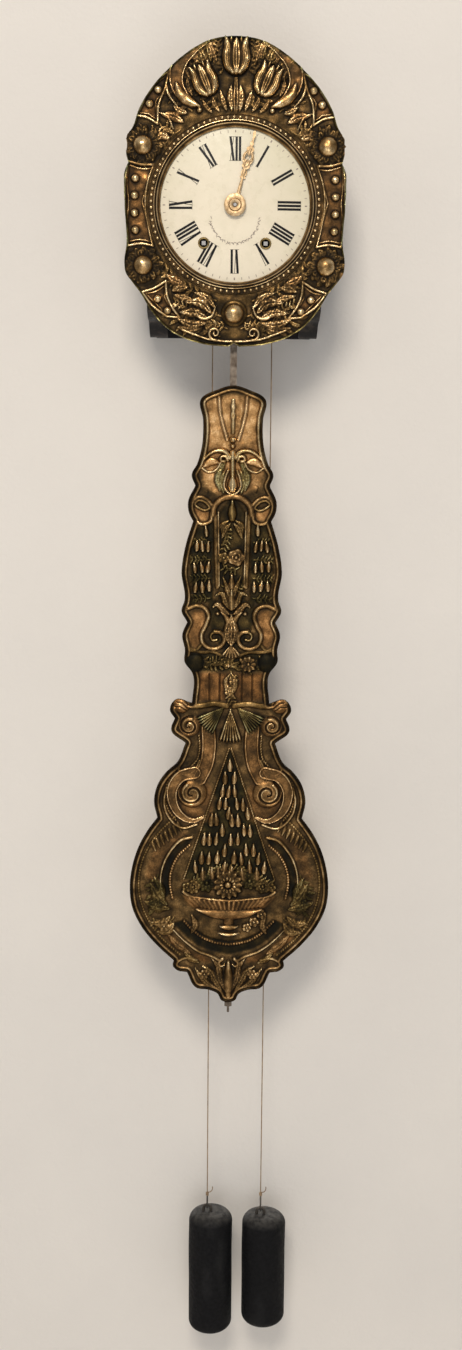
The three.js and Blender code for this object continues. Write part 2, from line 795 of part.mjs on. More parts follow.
// The crutch hangs from the anchor's arbor and takes the rod between two prongs.
function crutchSolid() {
  const half = crutchWidth / 2;
  const shape = shapeOf([
    ...arc(0, 0, arborRadius * 2, -Math.PI / 3, 1.33 * Math.PI, 8),
    [-half, -crutchLength + 2 * crutchWidth],
    [-rodWidth / 2 - forkGap - prongWidth, -crutchLength + crutchWidth],
    [-rodWidth / 2 - forkGap - prongWidth, -crutchLength],
    [rodWidth / 2 + forkGap + prongWidth, -crutchLength],
    [rodWidth / 2 + forkGap + prongWidth, -crutchLength + crutchWidth],
    [half, -crutchLength + 2 * crutchWidth],
  ]);
  const flat = cut(
    slab(shape, crutchBack, crutchFront),
    bar(0, 0, arborRadius + runGap, crutchBack - overrun, crutchFront + overrun),
  );
  const prongs = [-1, 1].map((side) => {
    const inner = side * (rodWidth / 2 + forkGap);
    const [x0, x1] = [inner, inner + side * prongWidth].sort((a, b) => a - b);
    const top = -crutchLength + crutchWidth / 2;
    return box(x0, x1, -crutchLength, top, crutchFront - runGap, rodBack + rodThickness);
  });
  return join(flat, prongs).translate([0, anchorHeight, 0]);
}

// Strike train

const hammerPinCircle = pitchRadius(pinWheelTeeth, trainModule) * 0.86;

const pinWheel = join(
  wheelAndPinion({
    place: pinPlace,
    back: middleWheelBack,
    teeth: pinWheelTeeth,
    facing: angleTo(pinPlace, warningPlace),
    pinionBack: greatWheelBack - wheelThickness,
    pinionFacing: angleTo(pinPlace, strikeDrumPlace),
    module: greatModule,
    front: frontBarFront,
  }),
  times(hammerPinCount, (i) => {
    const place = polar(...pinPlace, hammerPinCircle, (2 * Math.PI * i) / hammerPinCount);
    return bar(...place, wireRadius, middleWheelBack + wheelThickness / 2, frontBarBack - 2 * runGap, 6);
  }),
);

const warningWheel = wheelAndPinion({
  place: warningPlace,
  back: upperWheelBack,
  teeth: warningTeeth,
  facing: angleTo(warningPlace, flyPlace),
  pinionBack: frontBarBack - pinionLength - wheelThickness,
  pinionFacing: angleTo(warningPlace, pinPlace),
  module: trainModule,
  front: frontBarFront,
});

function flySolid() {
  const [x, y] = flyPlace;
  const back = upperWheelBack - wheelThickness - flyWidth - wheelThickness;
  const [reach, half] = [flyLength / 2, flyThickness / 2];
  const vanes = box(x - reach, x + reach, y - half, y + half, back, back + flyWidth);
  const facing = angleTo(flyPlace, warningPlace);
  const leaves = pinion(flyPlace, pinionLeaves, trainModule, facing, upperPinionBack, pinionLength);
  return join(vanes, leaves, bar(x, y, arborRadius, arborBack, frontBarFront));
}

// Motion work

const layer = (index) => motionBack + index * motionLayer;
const motionModule = (2 * motionDistance) / (cannonLeaves + motionTeeth);
const hourModule = (2 * motionDistance) / (motionLeaves + hourTeeth);
const dialFront = dialBack + dialThickness + dialDome;
const hourHandBack = dialFront + handGap;
const minuteHandBack = hourHandBack + handThickness + handGap;
const collarBack = minuteHandBack + handThickness + runGap;
const minuteArborFront = collarBack + collarHeight + 2 * runGap;

const transferFacing = angleTo([0, 0], secondPlace) + Math.PI / transferTeeth;
const motionFacing = motionArborAngle + Math.PI;
const leavesBack = (index) => layer(index) + motionWheelThickness - runGap;

const minuteArbor = join(
  bar(0, 0, minuteArborRadius, frontBarBack, minuteArborFront),
  flatWheel([0, 0], transferTeeth, transferModule, transferFacing, layer(0)),
  pinion([0, 0], cannonLeaves, motionModule, motionArborAngle, leavesBack(0), motionLayer + runGap),
);

const motionWheel = cut(
  join(
    flatWheel(motionPlace, motionTeeth, motionModule, motionFacing, layer(1)),
    pinion(motionPlace, motionLeaves, hourModule, motionFacing, leavesBack(1), motionLayer),
  ),
  arborHole(motionPlace, arborRadius, layer(1), layer(3)),
);

const hourWheel = cut(
  join(
    flatWheel([0, 0], hourTeeth, hourModule, motionArborAngle, layer(2)),
    bar(0, 0, hourPipeRadius, layer(2), minuteHandBack - 2 * runGap),
  ),
  arborHole([0, 0], minuteArborRadius, layer(2), minuteHandBack),
);

// A stamped hand that points up: shaft, cross piece, pierced medallion, crown and point.
function hand(length, back, bore) {
  const at = (widthShare, lengthShare) => [widthShare * length, lengthShare * length];
  const outline = (shares) => shapeOf(bothSides(shares.map(([x, y]) => at(x, y))));
  const shaft = outline([[0, 0.6], [0.016, 0.56], [0.024, 0.3], [0.034, 0.08], [0, 0.06]]);
  const cross = outline([[0, 0.6], [0.05, 0.59], [0.062, 0.565], [0.04, 0.55], [0, 0.555]]);
  const point = outline([[0, 1], [0.012, 0.9], [0.045, 0.855], [0.02, 0.83], [0.028, 0.8], [0, 0.73]]);
  const ellipse = (widthShare, heightShare) =>
    [0, 0.667 * length, widthShare * length, heightShare * length, 0, 2 * Math.PI];
  const medallion = new THREE.Shape().absellipse(...ellipse(0.064, 0.085));
  const window = new THREE.Path().absellipse(...ellipse(0.036, 0.052));
  medallion.holes.push(window);
  const front = back + handThickness;
  const parts = [
    ...[shaft, cross, point].map((shape) => slab(shape, back, front)),
    slab(medallion, back, front, 6),
    bar(0, 0, collarRadius * 0.62, back, front, drumSides),
  ];
  const whole = cut(join(parts), arborHole([0, 0], bore, back, front));
  return whole.rotate([0, 0, handAngle / deg]);
}

const collar = turned(
  [
    [minuteArborRadius + runGap, collarBack],
    [collarRadius, collarBack],
    [collarRadius, collarBack + collarHeight * 0.3],
    [collarRadius * 0.82, collarBack + collarHeight * 0.55],
    [collarRadius * 0.6, collarBack + collarHeight * 0.4],
    [collarRadius * 0.5, collarBack + collarHeight],
    [collarRadius * 0.3, collarBack + collarHeight],
    [minuteArborRadius + runGap, collarBack + collarHeight * 0.6],
  ],
  roundSides,
);

// Dial

const dialSurface = (radius) => dialBack + dialThickness + dialDome * (1 - (radius / dialRadius) ** 2);

function dialSolid() {
  const rings = [0, 0.6, 1].map((share) => [share * dialRadius, dialSurface(share * dialRadius)]);
  const disc = turned([[0, dialBack], [dialRadius, dialBack], ...rings.reverse()], fineSides);
  const holes = [goingDrumPlace, strikeDrumPlace].map((place) =>
    bar(...place, eyeletRadius, dialBack - overrun, dialFront + overrun, roundSides),
  );
  const centre = bar(0, 0, hourPipeRadius + 2 * runGap, dialBack - overrun, dialFront + overrun, drumSides);
  return join(cut(disc, holes, centre), dialFeet());
}

// A brass eyelet lines each winding hole, with a lip that stands on the enamel.
function eyelet(place) {
  const surface = dialSurface(Math.hypot(drumOffset, drumDrop));
  const outer = eyeletRadius * Math.cos(Math.PI / roundSides) - runGap;
  return turned(
    [
      [eyeletHoleRadius, dialBack],
      [outer, dialBack],
      [outer, surface + 2 * runGap],
      [outer * 0.94, surface + 3 * runGap + wireRadius],
      [eyeletHoleRadius, surface + wireRadius],
    ],
    roundSides,
    ...place,
  );
}

// Four feet on the dial's back stand on the front bars.
function dialFeet() {
  const xs = [(goingBarLeft + goingBarRight) * 0.66, (strikeBarLeft + strikeBarRight) * 0.56];
  const ys = [barTop * 0.68, barBottom * 0.74];
  const front = dialBack + dialThickness / 2;
  return xs.flatMap((x) => ys.map((y) => bar(x, y, dialFootRadius, frontBarFront, front, 6)));
}

// The bezel's stepped rings stand in front of the dial's rim, with a ring of beads round them.
function bezelSolid() {
  const rim = dialSurface(apertureRadius) + runGap;
  const face = frontonBack + frontonSheet + runGap;
  const neck = frontonHole - 2 * runGap;
  const step = bezelBeadRadius;
  const ring = turned(
    [
      [apertureRadius, rim],
      [neck, rim],
      [neck, face],
      [bezelRadius, face],
      [bezelRadius, face + step * 0.8],
      [beadRingRadius - 1.4 * step, face + step * 0.8],
      [beadRingRadius - 1.9 * step, face + step * 1.7],
      [apertureRadius + 1.8 * step, face + step * 1.3],
      [apertureRadius, rim + step],
    ],
    fineSides,
  );
  const beads = times(beadCount, (i) => {
    const place = polar(0, 0, beadRingRadius, (2 * Math.PI * i) / beadCount);
    return dome(...place, bezelBeadRadius, face + step * 0.8, bezelBeadRadius, beadSides, 1);
  });
  return join(ring, beads);
}

// Fronton

const frontonFace = frontonBack + frontonSheet;
const onFronton = ([x, y]) => [x * frontonHalfWidth, y * (y > 0 ? frontonRise : frontonDrop)];
const frontonRunShares = [
  [[0, 1], [0.24, 0.975], [0.44, 0.9], [0.62, 0.795], [0.77, 0.68], [0.87, 0.565], [0.925, 0.46]],
  [[0.925, 0.46], [0.98, 0.4], [0.985, 0.31], [0.965, 0.25]],
  [[0.965, 0.25], [0.99, 0.215], [1, 0], [0.985, -0.28]],
  [[0.985, -0.28], [1.005, -0.41], [0.995, -0.475], [0.935, -0.545]],
  [[0.935, -0.545], [0.87, -0.61], [0.75, -0.76], [0.635, -0.86], [0.48, -0.935], [0.27, -0.985], [0.05, -1]],
  [[0.05, -1], [0, -0.975]],
];
const sidePanelShares = [[0.735, 0.21], [0.96, 0.225], [0.975, 0], [0.96, -0.27], [0.755, -0.265], [0.82, 0]];
const upperPanelShares = [[0.57, 0.765], [0.7, 0.69], [0.81, 0.6], [0.885, 0.5], [0.69, 0.465], [0.63, 0.61]];
const lowerPanelShares = [[0.655, -0.535], [0.855, -0.595], [0.73, -0.755], [0.53, -0.885], [0.6, -0.74]];
const panelBeadShares = [
  [0.915, 0.145], [0.92, 0.045], [0.92, -0.07], [0.915, -0.175],
  [0.7, 0.665], [0.775, 0.58], [0.7, -0.67], [0.61, -0.75],
];
const cornerBossShares = [[0.835, 0.355], [0.835, -0.425]];
const rosettePoints = 9;
const petalStemShares = [[0, 0.55], [0, 0.74]];
const tulipShares = [
  { foot: [0, 0.76], tip: [0, 0.965] },
  { foot: [0.155, 0.63], tip: [0.335, 0.815] },
];

// A closed rib: the line starts and ends halfway along one of its sides.
function loopRib(points, base, width, height) {
  const last = points[points.length - 1];
  const start = [(points[0][0] + last[0]) / 2, (points[0][1] + last[1]) / 2];
  return rib([start, ...points, start], base, width, height, 1);
}

function rosette([x, y]) {
  const outer = bossRadius * 1.75;
  const edge = times(2 * rosettePoints, (i) => {
    const reach = outer * (i % 2 ? 0.82 : 1);
    return polar(x, y, reach, (Math.PI * i) / rosettePoints);
  });
  return [
    slab(shapeOf(edge), frontonBack, frontonFace + reliefHeight / 3),
    dome(x, y, bossRadius, frontonFace + reliefHeight / 3, bossHeight, drumSides, 2),
  ];
}

// Three petals side by side, and the outer two lean away from the middle one.
function tulip({ foot, tip }, side) {
  const [x0, y0] = onFronton([foot[0] * side, foot[1]]);
  const [x1, y1] = onFronton([tip[0] * side, tip[1]]);
  const [dx, dy] = [x1 - x0, y1 - y0];
  const at = (along, aside) => [x0 + dx * along - dy * aside, y0 + dy * along + dx * aside];
  const petal = (aside) => [at(0, 0), at(0.3, aside), at(0.65, aside * 1.15), at(1, aside * 0.95)];
  const width = Math.hypot(dx, dy) * 0.46;
  return [-0.22, 0.22, 0].map((aside) => {
    const height = reliefHeight * (aside ? 1 : 1.3);
    return leaf(petal(aside), frontonFace, width, height);
  });
}

const mirrored = (points, side) => points.map(([x, y]) => onFronton([x * side, y]));

function frontonSide(side) {
  const foliage = (points, width, height, shares = [0.2, 1, 0.1]) =>
    leaf(smooth(mirrored(points, side)), frontonFace, width, height, shares);
  const ribbon = (points) =>
    rib(smooth(mirrored(points, side), 2), frontonFace, ridgeWidth * 1.8, ridgeHeight * 1.3);
  const bead = ([x, y]) => dome(x, y, panelBeadRadius, frontonFace, panelBeadRadius, 6, 1);
  const scrollPlace = onFronton([0.165 * side, -0.905]);
  const scrollStart = Math.PI * (0.5 - side / 2);
  return [
    ...[sidePanelShares, upperPanelShares, lowerPanelShares].map((points) =>
      loopRib(mirrored(points, side), frontonFace, ridgeWidth, ridgeHeight),
    ),
    ...mirrored(panelBeadShares, side).map(bead),
    ...mirrored(cornerBossShares, side).flatMap(rosette),
    ...tulip(tulipShares[1], side),
    ribbon([[0.33, 0.9], [0.53, 0.76], [0.54, 0.6], [0.36, 0.55]]),
    foliage([[0.32, 0.56], [0.46, 0.62], [0.52, 0.74]], bossRadius, reliefHeight * 0.8),
    foliage([[0.2, 0.87], [0.3, 0.9], [0.42, 0.86]], bossRadius, reliefHeight * 0.6),
    foliage([[0.03, 0.54], [0.1, 0.62], [0.19, 0.66]], bossRadius * 0.6, reliefHeight * 0.6, [0.6, 1, 0.5]),
    foliage([[0.42, 0.5], [0.52, 0.47], [0.62, 0.4]], bossRadius, reliefHeight * 0.5),
    foliage([[0.6, -0.52], [0.5, -0.64], [0.35, -0.69]], bossRadius, reliefHeight * 0.6),
    foliage([[0.24, -0.9], [0.3, -0.78], [0.26, -0.68]], bossRadius, reliefHeight),
    foliage([[0.5, -0.9], [0.4, -0.84], [0.36, -0.74]], bossRadius * 0.9, reliefHeight * 0.8),
    ...scroll(...scrollPlace, bossRadius * 0.55, scrollStart, side * 1.4, frontonFace),
  ];
}

function frontonSolid() {
  const half = runs(frontonRunShares.map((run) => run.map(onFronton)));
  const outline = bothSides(half);
  const inset = (share) => outline.map(([x, y]) => [x * share, y * share]);
  const sheet = slab(shapeOf(outline), frontonBack, frontonFace);
  const rimOuter = slab(shapeOf(outline), frontonFace - frontonRimDepth, frontonFace);
  const rimInner = slab(shapeOf(inset(0.985)), frontonFace - frontonRimDepth - overrun, frontonBack + runGap);
  const parts = [
    sheet,
    cut(rimOuter, rimInner),
    ...frontonSide(1),
    ...frontonSide(-1),
    ...tulip(tulipShares[0], 1),
    leaf(mirrored(petalStemShares, 1), frontonFace, bossRadius / 2, reliefHeight / 2, [1, 1]),
    dome(...onFronton([0, -0.765]), bossRadius, frontonFace, bossHeight, drumSides, 2),
  ];
  const rimBack = frontonFace - frontonRimDepth - overrun;
  const opening = bar(0, 0, frontonHole, rimBack, frontonFace + overrun, fineSides);
  const seatRadius = bezelRadius + 2 * runGap;
  const bezelSeat = bar(0, 0, seatRadius, frontonFace, frontonFace + 2 * reliefHeight, fineSides);
  return cut(join(parts), opening, bezelSeat);
}

// Pendulum

const rodFront = rodBack + rodThickness;
const rodMiddle = rodBack + rodThickness / 2;
const plateBack = rodFront + plateGap;
const plateFace = plateBack + plateSheet;
const plateBottom = plateTop - plateHeight;
const bobDrop = plateHeight * bobPlaceShare - plateTop;
const threadEnd = plateBottom - threadLength;
const onPlate = ([x, y]) => [x * plateHalfWidth, plateTop - y * plateHeight];
const plateRunShares = [
  [[0, 0], [0.16, 0.007], [0.307, 0.021]],
  [[0.307, 0.021], [0.286, 0.052], [0.302, 0.098], [0.339, 0.119], [0.392, 0.137]],
  [[0.392, 0.137], [0.357, 0.153], [0.427, 0.18], [0.417, 0.195], [0.376, 0.208]],
  [[0.376, 0.208], [0.448, 0.246], [0.487, 0.286], [0.459, 0.334]],
  [[0.459, 0.334], [0.486, 0.348], [0.43, 0.367]],
  [[0.43, 0.367], [0.478, 0.387], [0.452, 0.411]],
  [[0.452, 0.411], [0.455, 0.43], [0.38, 0.448]],
  [[0.38, 0.448], [0.38, 0.497]],
  [[0.38, 0.497], [0.545, 0.492], [0.598, 0.508], [0.549, 0.522]],
  [[0.549, 0.522], [0.585, 0.54], [0.442, 0.562]],
  [[0.442, 0.562], [0.53, 0.595], [0.625, 0.609], [0.715, 0.63], [0.755, 0.658], [0.722, 0.686]],
  [[0.722, 0.686], [0.817, 0.707], [0.905, 0.733], [0.975, 0.768], [1, 0.801], [0.978, 0.836], [0.887, 0.869],
    [0.72, 0.903], [0.555, 0.928]],
  [[0.555, 0.928], [0.565, 0.937], [0.52, 0.945], [0.422, 0.948]],
  [[0.422, 0.948], [0.325, 0.975], [0.19, 0.979]],
  [[0.19, 0.979], [0.11, 0.985], [0.065, 0.997], [0, 1]],
];
const dropRowShares = [[0.605, 1, 0], [0.65, 2, 0.06], [0.695, 2, 0.1], [0.74, 3, 0.17]];
const dropShares = [[0.3, 0.25], [0.3, 0.28], [0.3, 0.31]];
const bouquetShares = [[0, 0.8], [0.17, 0.805], [0.31, 0.815]];
const strapShares = [[0.26, 0.05], [0.4, 0.43], [0.42, 0.58], [0.62, 0.9]];

function plateSide(side) {
  const at = (points) => points.map(([x, y]) => onPlate([x * side, y]));
  const line = (points, width = ridgeWidth, height = ridgeHeight) =>
    rib(at(points), plateFace, width, height);
  const blade = (points, width, height, shares) => leaf(at(points), plateFace, width, height, shares);
  const bead = (points, radius) => at(points).map(([x, y]) => dome(x, y, radius, plateFace, radius, 6, 1));
  const drop = ([x, y]) =>
    blade([[x, y - 0.01], [x, y], [x, y + 0.01]], ridgeWidth * 2.4, ridgeHeight, [0.2, 1, 0.3]);
  const coil = (place, radius, start, turns) => {
    const angle = side > 0 ? start : Math.PI - start;
    const centre = onPlate([place[0] * side, place[1]]);
    const [width, height] = [ridgeWidth * 1.3, ridgeHeight * 1.5];
    return scroll(...centre, radius, angle, turns * side, plateFace, width, height);
  };
  return [
    line([[0.05, 0.025], [0.24, 0.036], [0.225, 0.075], [0.29, 0.12]]),
    coil([0.31, 0.187], ridgeWidth * 3, 0, 1.2),
    line([[0, 0.176], [0.13, 0.183], [0.24, 0.225]], ridgeWidth * 1.6),
    line([[0.16, 0.235], [0.17, 0.28], [0.16, 0.325]], ridgeWidth * 1.4),
    dropShares.map(drop),
    blade([[0, 0.35], [0.1, 0.33], [0.17, 0.325]], ridgeWidth * 3, reliefHeight * 0.6),
    line([[0.14, 0.345], [0.34, 0.352], [0.38, 0.38], [0.2, 0.392]], ridgeWidth * 2, reliefHeight * 0.6),
    coil([0.17, 0.37], ridgeWidth * 2.5, 0.5, 1.1),
    blade([[0.1, 0.4], [0.22, 0.405], [0.38, 0.4]], ridgeWidth * 5, reliefHeight * 0.7),
    line([[0.17, 0.445], [0.17, 0.49]], ridgeWidth * 1.5),
    blade([[0.02, 0.5], [0.14, 0.515], [0.22, 0.535]], ridgeWidth * 5, reliefHeight),
    coil([0.45, 0.51], ridgeWidth * 2.75, Math.PI / 2, -1.2),
    coil([0.36, 0.538], ridgeWidth * 3, 0, 1.2),
    line([[0.26, 0.55], [0.3, 0.585], [0.46, 0.61], [0.6, 0.635]], ridgeWidth * 2, reliefHeight * 0.7),
    coil([0.41, 0.66], ridgeWidth * 7.5, Math.PI / 2, -1.7),
    line([[0.02, 0.57], [0.12, 0.65], [0.3, 0.81]], ridgeWidth * 1.4),
    line([[0.6, 0.7], [0.8, 0.735], [0.88, 0.79], [0.78, 0.85], [0.5, 0.9]], ridgeWidth * 1.6),
    line([[0.48, 0.735], [0.6, 0.79], [0.52, 0.85], [0.25, 0.885], [0, 0.892]], ridgeWidth * 1.6),
    blade([[0.52, 0.73], [0.74, 0.79], [0.68, 0.84]], ridgeWidth * 7, reliefHeight * 0.7, [0.3, 1, 0.2]),
    blade([[0.66, 0.86], [0.5, 0.875], [0.36, 0.9]], ridgeWidth * 6, reliefHeight * 0.8, [0.3, 1, 0.2]),
    line([[0, 0.822], [0.2, 0.822], [0.38, 0.815]], ridgeWidth * 2, reliefHeight * 0.8),
    coil([0.19, 0.924], ridgeWidth * 2.5, 0, 1.2),
    blade([[0.02, 0.94], [0.18, 0.955], [0.3, 0.96]], ridgeWidth * 5, reliefHeight * 0.7, [0.6, 1, 0.1]),
    bead(bouquetShares.slice(1), ridgeWidth * 2),
  ].flat();
}

function plateSolid() {
  const half = runs(plateRunShares.map((run) => run.map(onPlate)));
  const outline = bothSides(half);
  const edgeLine = outline.map(([x, y]) => [
    x * (1 - (plateEdge / plateHalfWidth) * 1.2),
    y + (y < -bobDrop ? plateEdge : -plateEdge) / 2,
  ]);
  const middle = (points, width, height, shares) =>
    leaf(points.map(onPlate), plateFace, width, height, shares);
  const row = (y, count, spread) =>
    times(count, (i) => {
      const x = count === 1 ? 0 : spread * ((2 * i) / (count - 1) - 1);
      const line = [[x, y - 0.016], [x, y], [x, y + 0.016]];
      return middle(line, ridgeWidth * 2.6, reliefHeight * 0.6, [0.2, 1, 0.3]);
    });
  const parts = [
    slab(shapeOf(outline), plateBack, plateFace),
    loopRib(edgeLine, plateFace, plateEdge * 0.8, ridgeHeight * 0.8),
    ...plateSide(1),
    ...plateSide(-1),
    middle([[0, 0.03], [0, 0.07], [0, 0.115]], ridgeWidth * 2.5, reliefHeight * 0.6, [0.4, 1, 0.4]),
    middle([[0, 0.14], [0, 0.155], [0, 0.17]], ridgeWidth * 3, reliefHeight, [0.3, 1, 0.3]),
    middle([[0, 0.205], [0, 0.22], [0, 0.235]], ridgeWidth * 3, reliefHeight * 0.8, [0.8, 1, 0.3]),
    dome(...onPlate([0, 0.275]), ridgeWidth * 2.4, plateFace, reliefHeight * 0.7),
    middle([[0, 0.355], [0, 0.33], [0, 0.305]], ridgeWidth * 3.4, reliefHeight),
    middle([[0, 0.395], [0, 0.38], [0, 0.36]], ridgeWidth * 3.4, reliefHeight),
    middle([[0, 0.45], [0, 0.47], [0, 0.495]], ridgeWidth * 3, reliefHeight * 0.8, [0.6, 1, 0.5]),
    middle([[0, 0.5], [0, 0.525], [0, 0.55]], ridgeWidth * 4, reliefHeight * 1.1, [0.5, 1, 0.8]),
    ...dropRowShares.flatMap(([y, count, spread]) => row(y, count, spread)),
    dome(...onPlate(bouquetShares[0]), ridgeWidth * 2.6, plateFace, reliefHeight * 1.1),
    middle([[0, 0.83], [0, 0.85], [0, 0.875]], ridgeWidth * 9, reliefHeight * 1.1, [1, 0.8, 0.25]),
    middle([[0, 0.97], [0, 0.94], [0, 0.9]], ridgeWidth * 5, reliefHeight * 1.1),
    middle([[0, 0.965], [0, 0.975], [0, 0.99]], ridgeWidth * 4, reliefHeight * 0.8, [0.5, 1, 0.5]),
  ];
  return join(parts);
}

// The iron frame that stiffens the plate: a spine with cross straps, between the rod and the plate.
function plateFrame() {
  const strap = (place) => {
    const [x, y] = onPlate(place);
    return box(-x, x, y - strapWidth / 2, y + strapWidth / 2, rodFront, plateBack);
  };
  const spineHalf = rodWidth / 2;
  const [, top] = onPlate(strapShares[0]);
  const [, bottom] = onPlate(strapShares[strapShares.length - 1]);
  return join(strapShares.map(strap), box(-spineHalf, spineHalf, bottom, top, rodFront, plateBack));
}

const rodTop = anchorHeight - springLength;
const nutTop = plateBottom - runGap;

// A flat rod, opened into a ring where the hour pipe passes, and threaded at its foot.
function rodSolid() {
  const half = rodWidth / 2;
  const strip = box(-half, half, plateBottom, rodTop, rodBack, rodFront);
  const ring = bar(0, 0, rodLoopRadius, rodBack, rodFront, roundSides);
  const openingRadius = rodLoopRadius - rodThickness * 1.3;
  const opening = bar(0, 0, openingRadius, rodBack - overrun, rodFront + overrun, roundSides);
  const thread = post(0, rodMiddle, threadRadius, threadEnd, plateBottom + overrun, wireSides);
  return join(cut(join(strip, ring), opening), thread);
}

const bob = turned(
  [
    [0, rodBack - runGap - bobThickness],
    [bobRadius * 0.55, rodBack - runGap - bobThickness],
    [bobRadius * 0.88, rodBack - runGap - bobThickness * 0.8],
    [bobRadius, rodBack - runGap - bobThickness * 0.45],
    [bobRadius * 0.97, rodBack - runGap],
    [0, rodBack - runGap],
  ],
  roundSides,
  0,
  -bobDrop,
);

const ratingNut = cut(
  post(0, rodMiddle, nutRadius, nutTop - nutHeight, nutTop, 6),
  post(0, rodMiddle, threadRadius + runGap, nutTop - 2 * nutHeight, nutTop + overrun),
);

// The spring hangs on a pin between the cock's two cheeks.
const cheekThickness = 2.6;
const springBack = rodBack + (rodThickness - springThickness) / 2;
const pinReach = rodThickness / 2 + forkGap + cheekThickness;

const springFront = springBack + springThickness;
const [pinBottom, pinTop] = [anchorHeight - wireRadius, anchorHeight + wireRadius];

const suspensionSpring = join(
  box(-rodWidth / 2, rodWidth / 2, rodTop + runGap, anchorHeight, springBack, springFront),
  bar(0, anchorHeight, wireRadius, rodMiddle - pinReach, rodMiddle + pinReach, rodSides),
  box(-rodWidth / 4, rodWidth / 4, pinBottom, pinTop, rodBack, rodFront),
);

function suspensionCock() {
  const half = rodWidth * 0.8;
  const [top, roof] = [anchorHeight + 3 * barThickness, anchorHeight + 2 * barThickness];
  const inner = rodThickness / 2 + forkGap;
  const cheek = (z0) => box(-half, half, anchorHeight - half, top, z0, z0 + cheekThickness);
  const arm = box(-half, half, roof, top, frontBarFront, rodMiddle + inner + cheekThickness);
  const boreRadius = wireRadius + 1.2 * runGap;
  const [boreBack, boreFront] = [rodMiddle - 2 * pinReach, rodMiddle + 2 * pinReach];
  const bore = bar(0, anchorHeight, boreRadius, boreBack, boreFront, roundSides);
  const cheeks = [cheek(rodMiddle - inner - cheekThickness), cheek(rodMiddle + inner)];
  return cut(join(arm, cheeks), bore);
}

// Bell and hammer

const bellRim = cageTop + bellGap;

const bell = spun(
  [
    [bellRadius, bellRim],
    [bellRadius * 0.93, bellRim + bellHeight * 0.3],
    [bellRadius * 0.8, bellRim + bellHeight * 0.66],
    [bellRadius * 0.5, bellRim + bellHeight * 0.94],
    [bellStandRadius + runGap, bellRim + bellHeight],
    [bellStandRadius + runGap, bellRim + bellHeight - bellWall],
    [bellRadius * 0.48, bellRim + bellHeight * 0.94 - bellWall],
    [bellRadius * 0.8 - bellWall, bellRim + bellHeight * 0.62],
    [bellRadius * 0.93 - bellWall, bellRim + bellHeight * 0.28],
    [bellRadius - bellWall, bellRim],
  ],
  roundSides,
  0,
  bellDepth,
);

const bellTop = bellRim + bellHeight;
const bellStand = spun(
  [
    [0, cageTop],
    [bellStandRadius * 2.4, cageTop],
    [bellStandRadius * 2.4, cageTop + bellWall],
    [bellStandRadius * 1.4, cageTop + 2 * bellWall],
    [bellStandRadius * 1.4, bellTop - bellWall - runGap],
    [bellStandRadius, bellTop - bellWall - runGap],
    [bellStandRadius, bellTop + 2.5 * bellWall],
    [0, bellTop + 2.5 * bellWall],
  ],
  rodSides,
  0,
  bellDepth,
);

const bellNut = cut(
  post(0, bellDepth, bellStandRadius * 2, bellTop + runGap, bellTop + 2 * bellWall, 4),
  post(0, bellDepth, bellStandRadius + runGap, bellTop - overrun, bellTop + 3 * bellWall),
);

// The hammer stands on an upright arbor; its head waits beside the bell's lip.
function hammerSolid() {
  const [x, z] = [-hammerOffset, hammerDepth];
  const armHeight = bellRim + bellHeight * 0.14;
  const arbor = post(x, z, arborRadius, cageBottom + runGap, armHeight + 2 * arborRadius);
  const lip = -bellRadius - 2 * runGap - hammerHeadLength;
  const bend = [x + hammerHeadRadius, armHeight, bellDepth - hammerHeadRadius];
  const arm = tube([[x, armHeight, z], bend, [lip, armHeight, bellDepth]], arborRadius);
  const head = new THREE.CylinderGeometry(hammerHeadRadius, hammerHeadRadius, hammerHeadLength, rodSides);
  head.rotateZ(Math.PI / 2).translate(lip + hammerHeadLength / 2, armHeight, bellDepth);
  const tailDepth = (middleWheelBack + wheelThickness + frontBarBack) / 2;
  const tailReach = pinPlace[0] - hammerPinCircle - 3 * wireRadius - 2 * runGap;
  const tailRoute = [[x, 0, z], [x, 0, tailDepth - hammerHeadLength], [tailReach, 0, tailDepth]];
  return join(arbor, arm, solid(head), tube(tailRoute, wireRadius, 6));
}

// Wall bracket

const boardShape = bothSides([
  [0, cageBottom],
  [bracketHalfWidth, cageBottom],
  [bracketHalfWidth, bracketBottom + armWidth / 3],
  [bracketHalfWidth - armWidth / 3, bracketBottom],
  [0, bracketBottom],
]);
const screwPlaces = [-1, 1].map((side) => [
  side * bracketScrewPlaceShare * bracketHalfWidth,
  (cageBottom + bracketBottom) / 2,
]);

const backBoard = cut(
  slab(shapeOf(boardShape), 0, boardDepth),
  screwPlaces.map(([x, y]) => bar(x, y, bracketScrewRadius + runGap, -overrun, boardDepth + overrun)),
);

const bracketScrew = ([x, y]) =>
  join(
    bar(x, y, bracketScrewRadius, 0, boardDepth + bracketScrewHeadDepth / 2),
    bar(x, y, bracketScrewHeadRadius, boardDepth + runGap, boardDepth + bracketScrewHeadDepth),
  );

// An arm with a swept underside and a rounded toe, drawn from the side.
function bracketArm(side) {
  const drop = cageBottom - bracketBottom;
  const at = (reachShare, dropShare) => [boardDepth + reachShare * armReach, cageBottom - dropShare * drop];
  const under = smooth([at(1, 0.3), at(0.8, 0.5), at(0.5, 0.62), at(0.3, 0.9), at(0.16, 1), at(0, 0.92)], 3);
  const shape = shapeOf([at(0, 0), at(1, 0), ...under]);
  const options = { depth: armWidth, bevelEnabled: false };
  const geometry = new THREE.ExtrudeGeometry(shape, options).rotateY(-Math.PI / 2);
  const outer = side > 0 ? bracketHalfWidth : -bracketHalfWidth + armWidth;
  return solid(geometry.translate(outer, 0, 0));
}

// Cords and weights

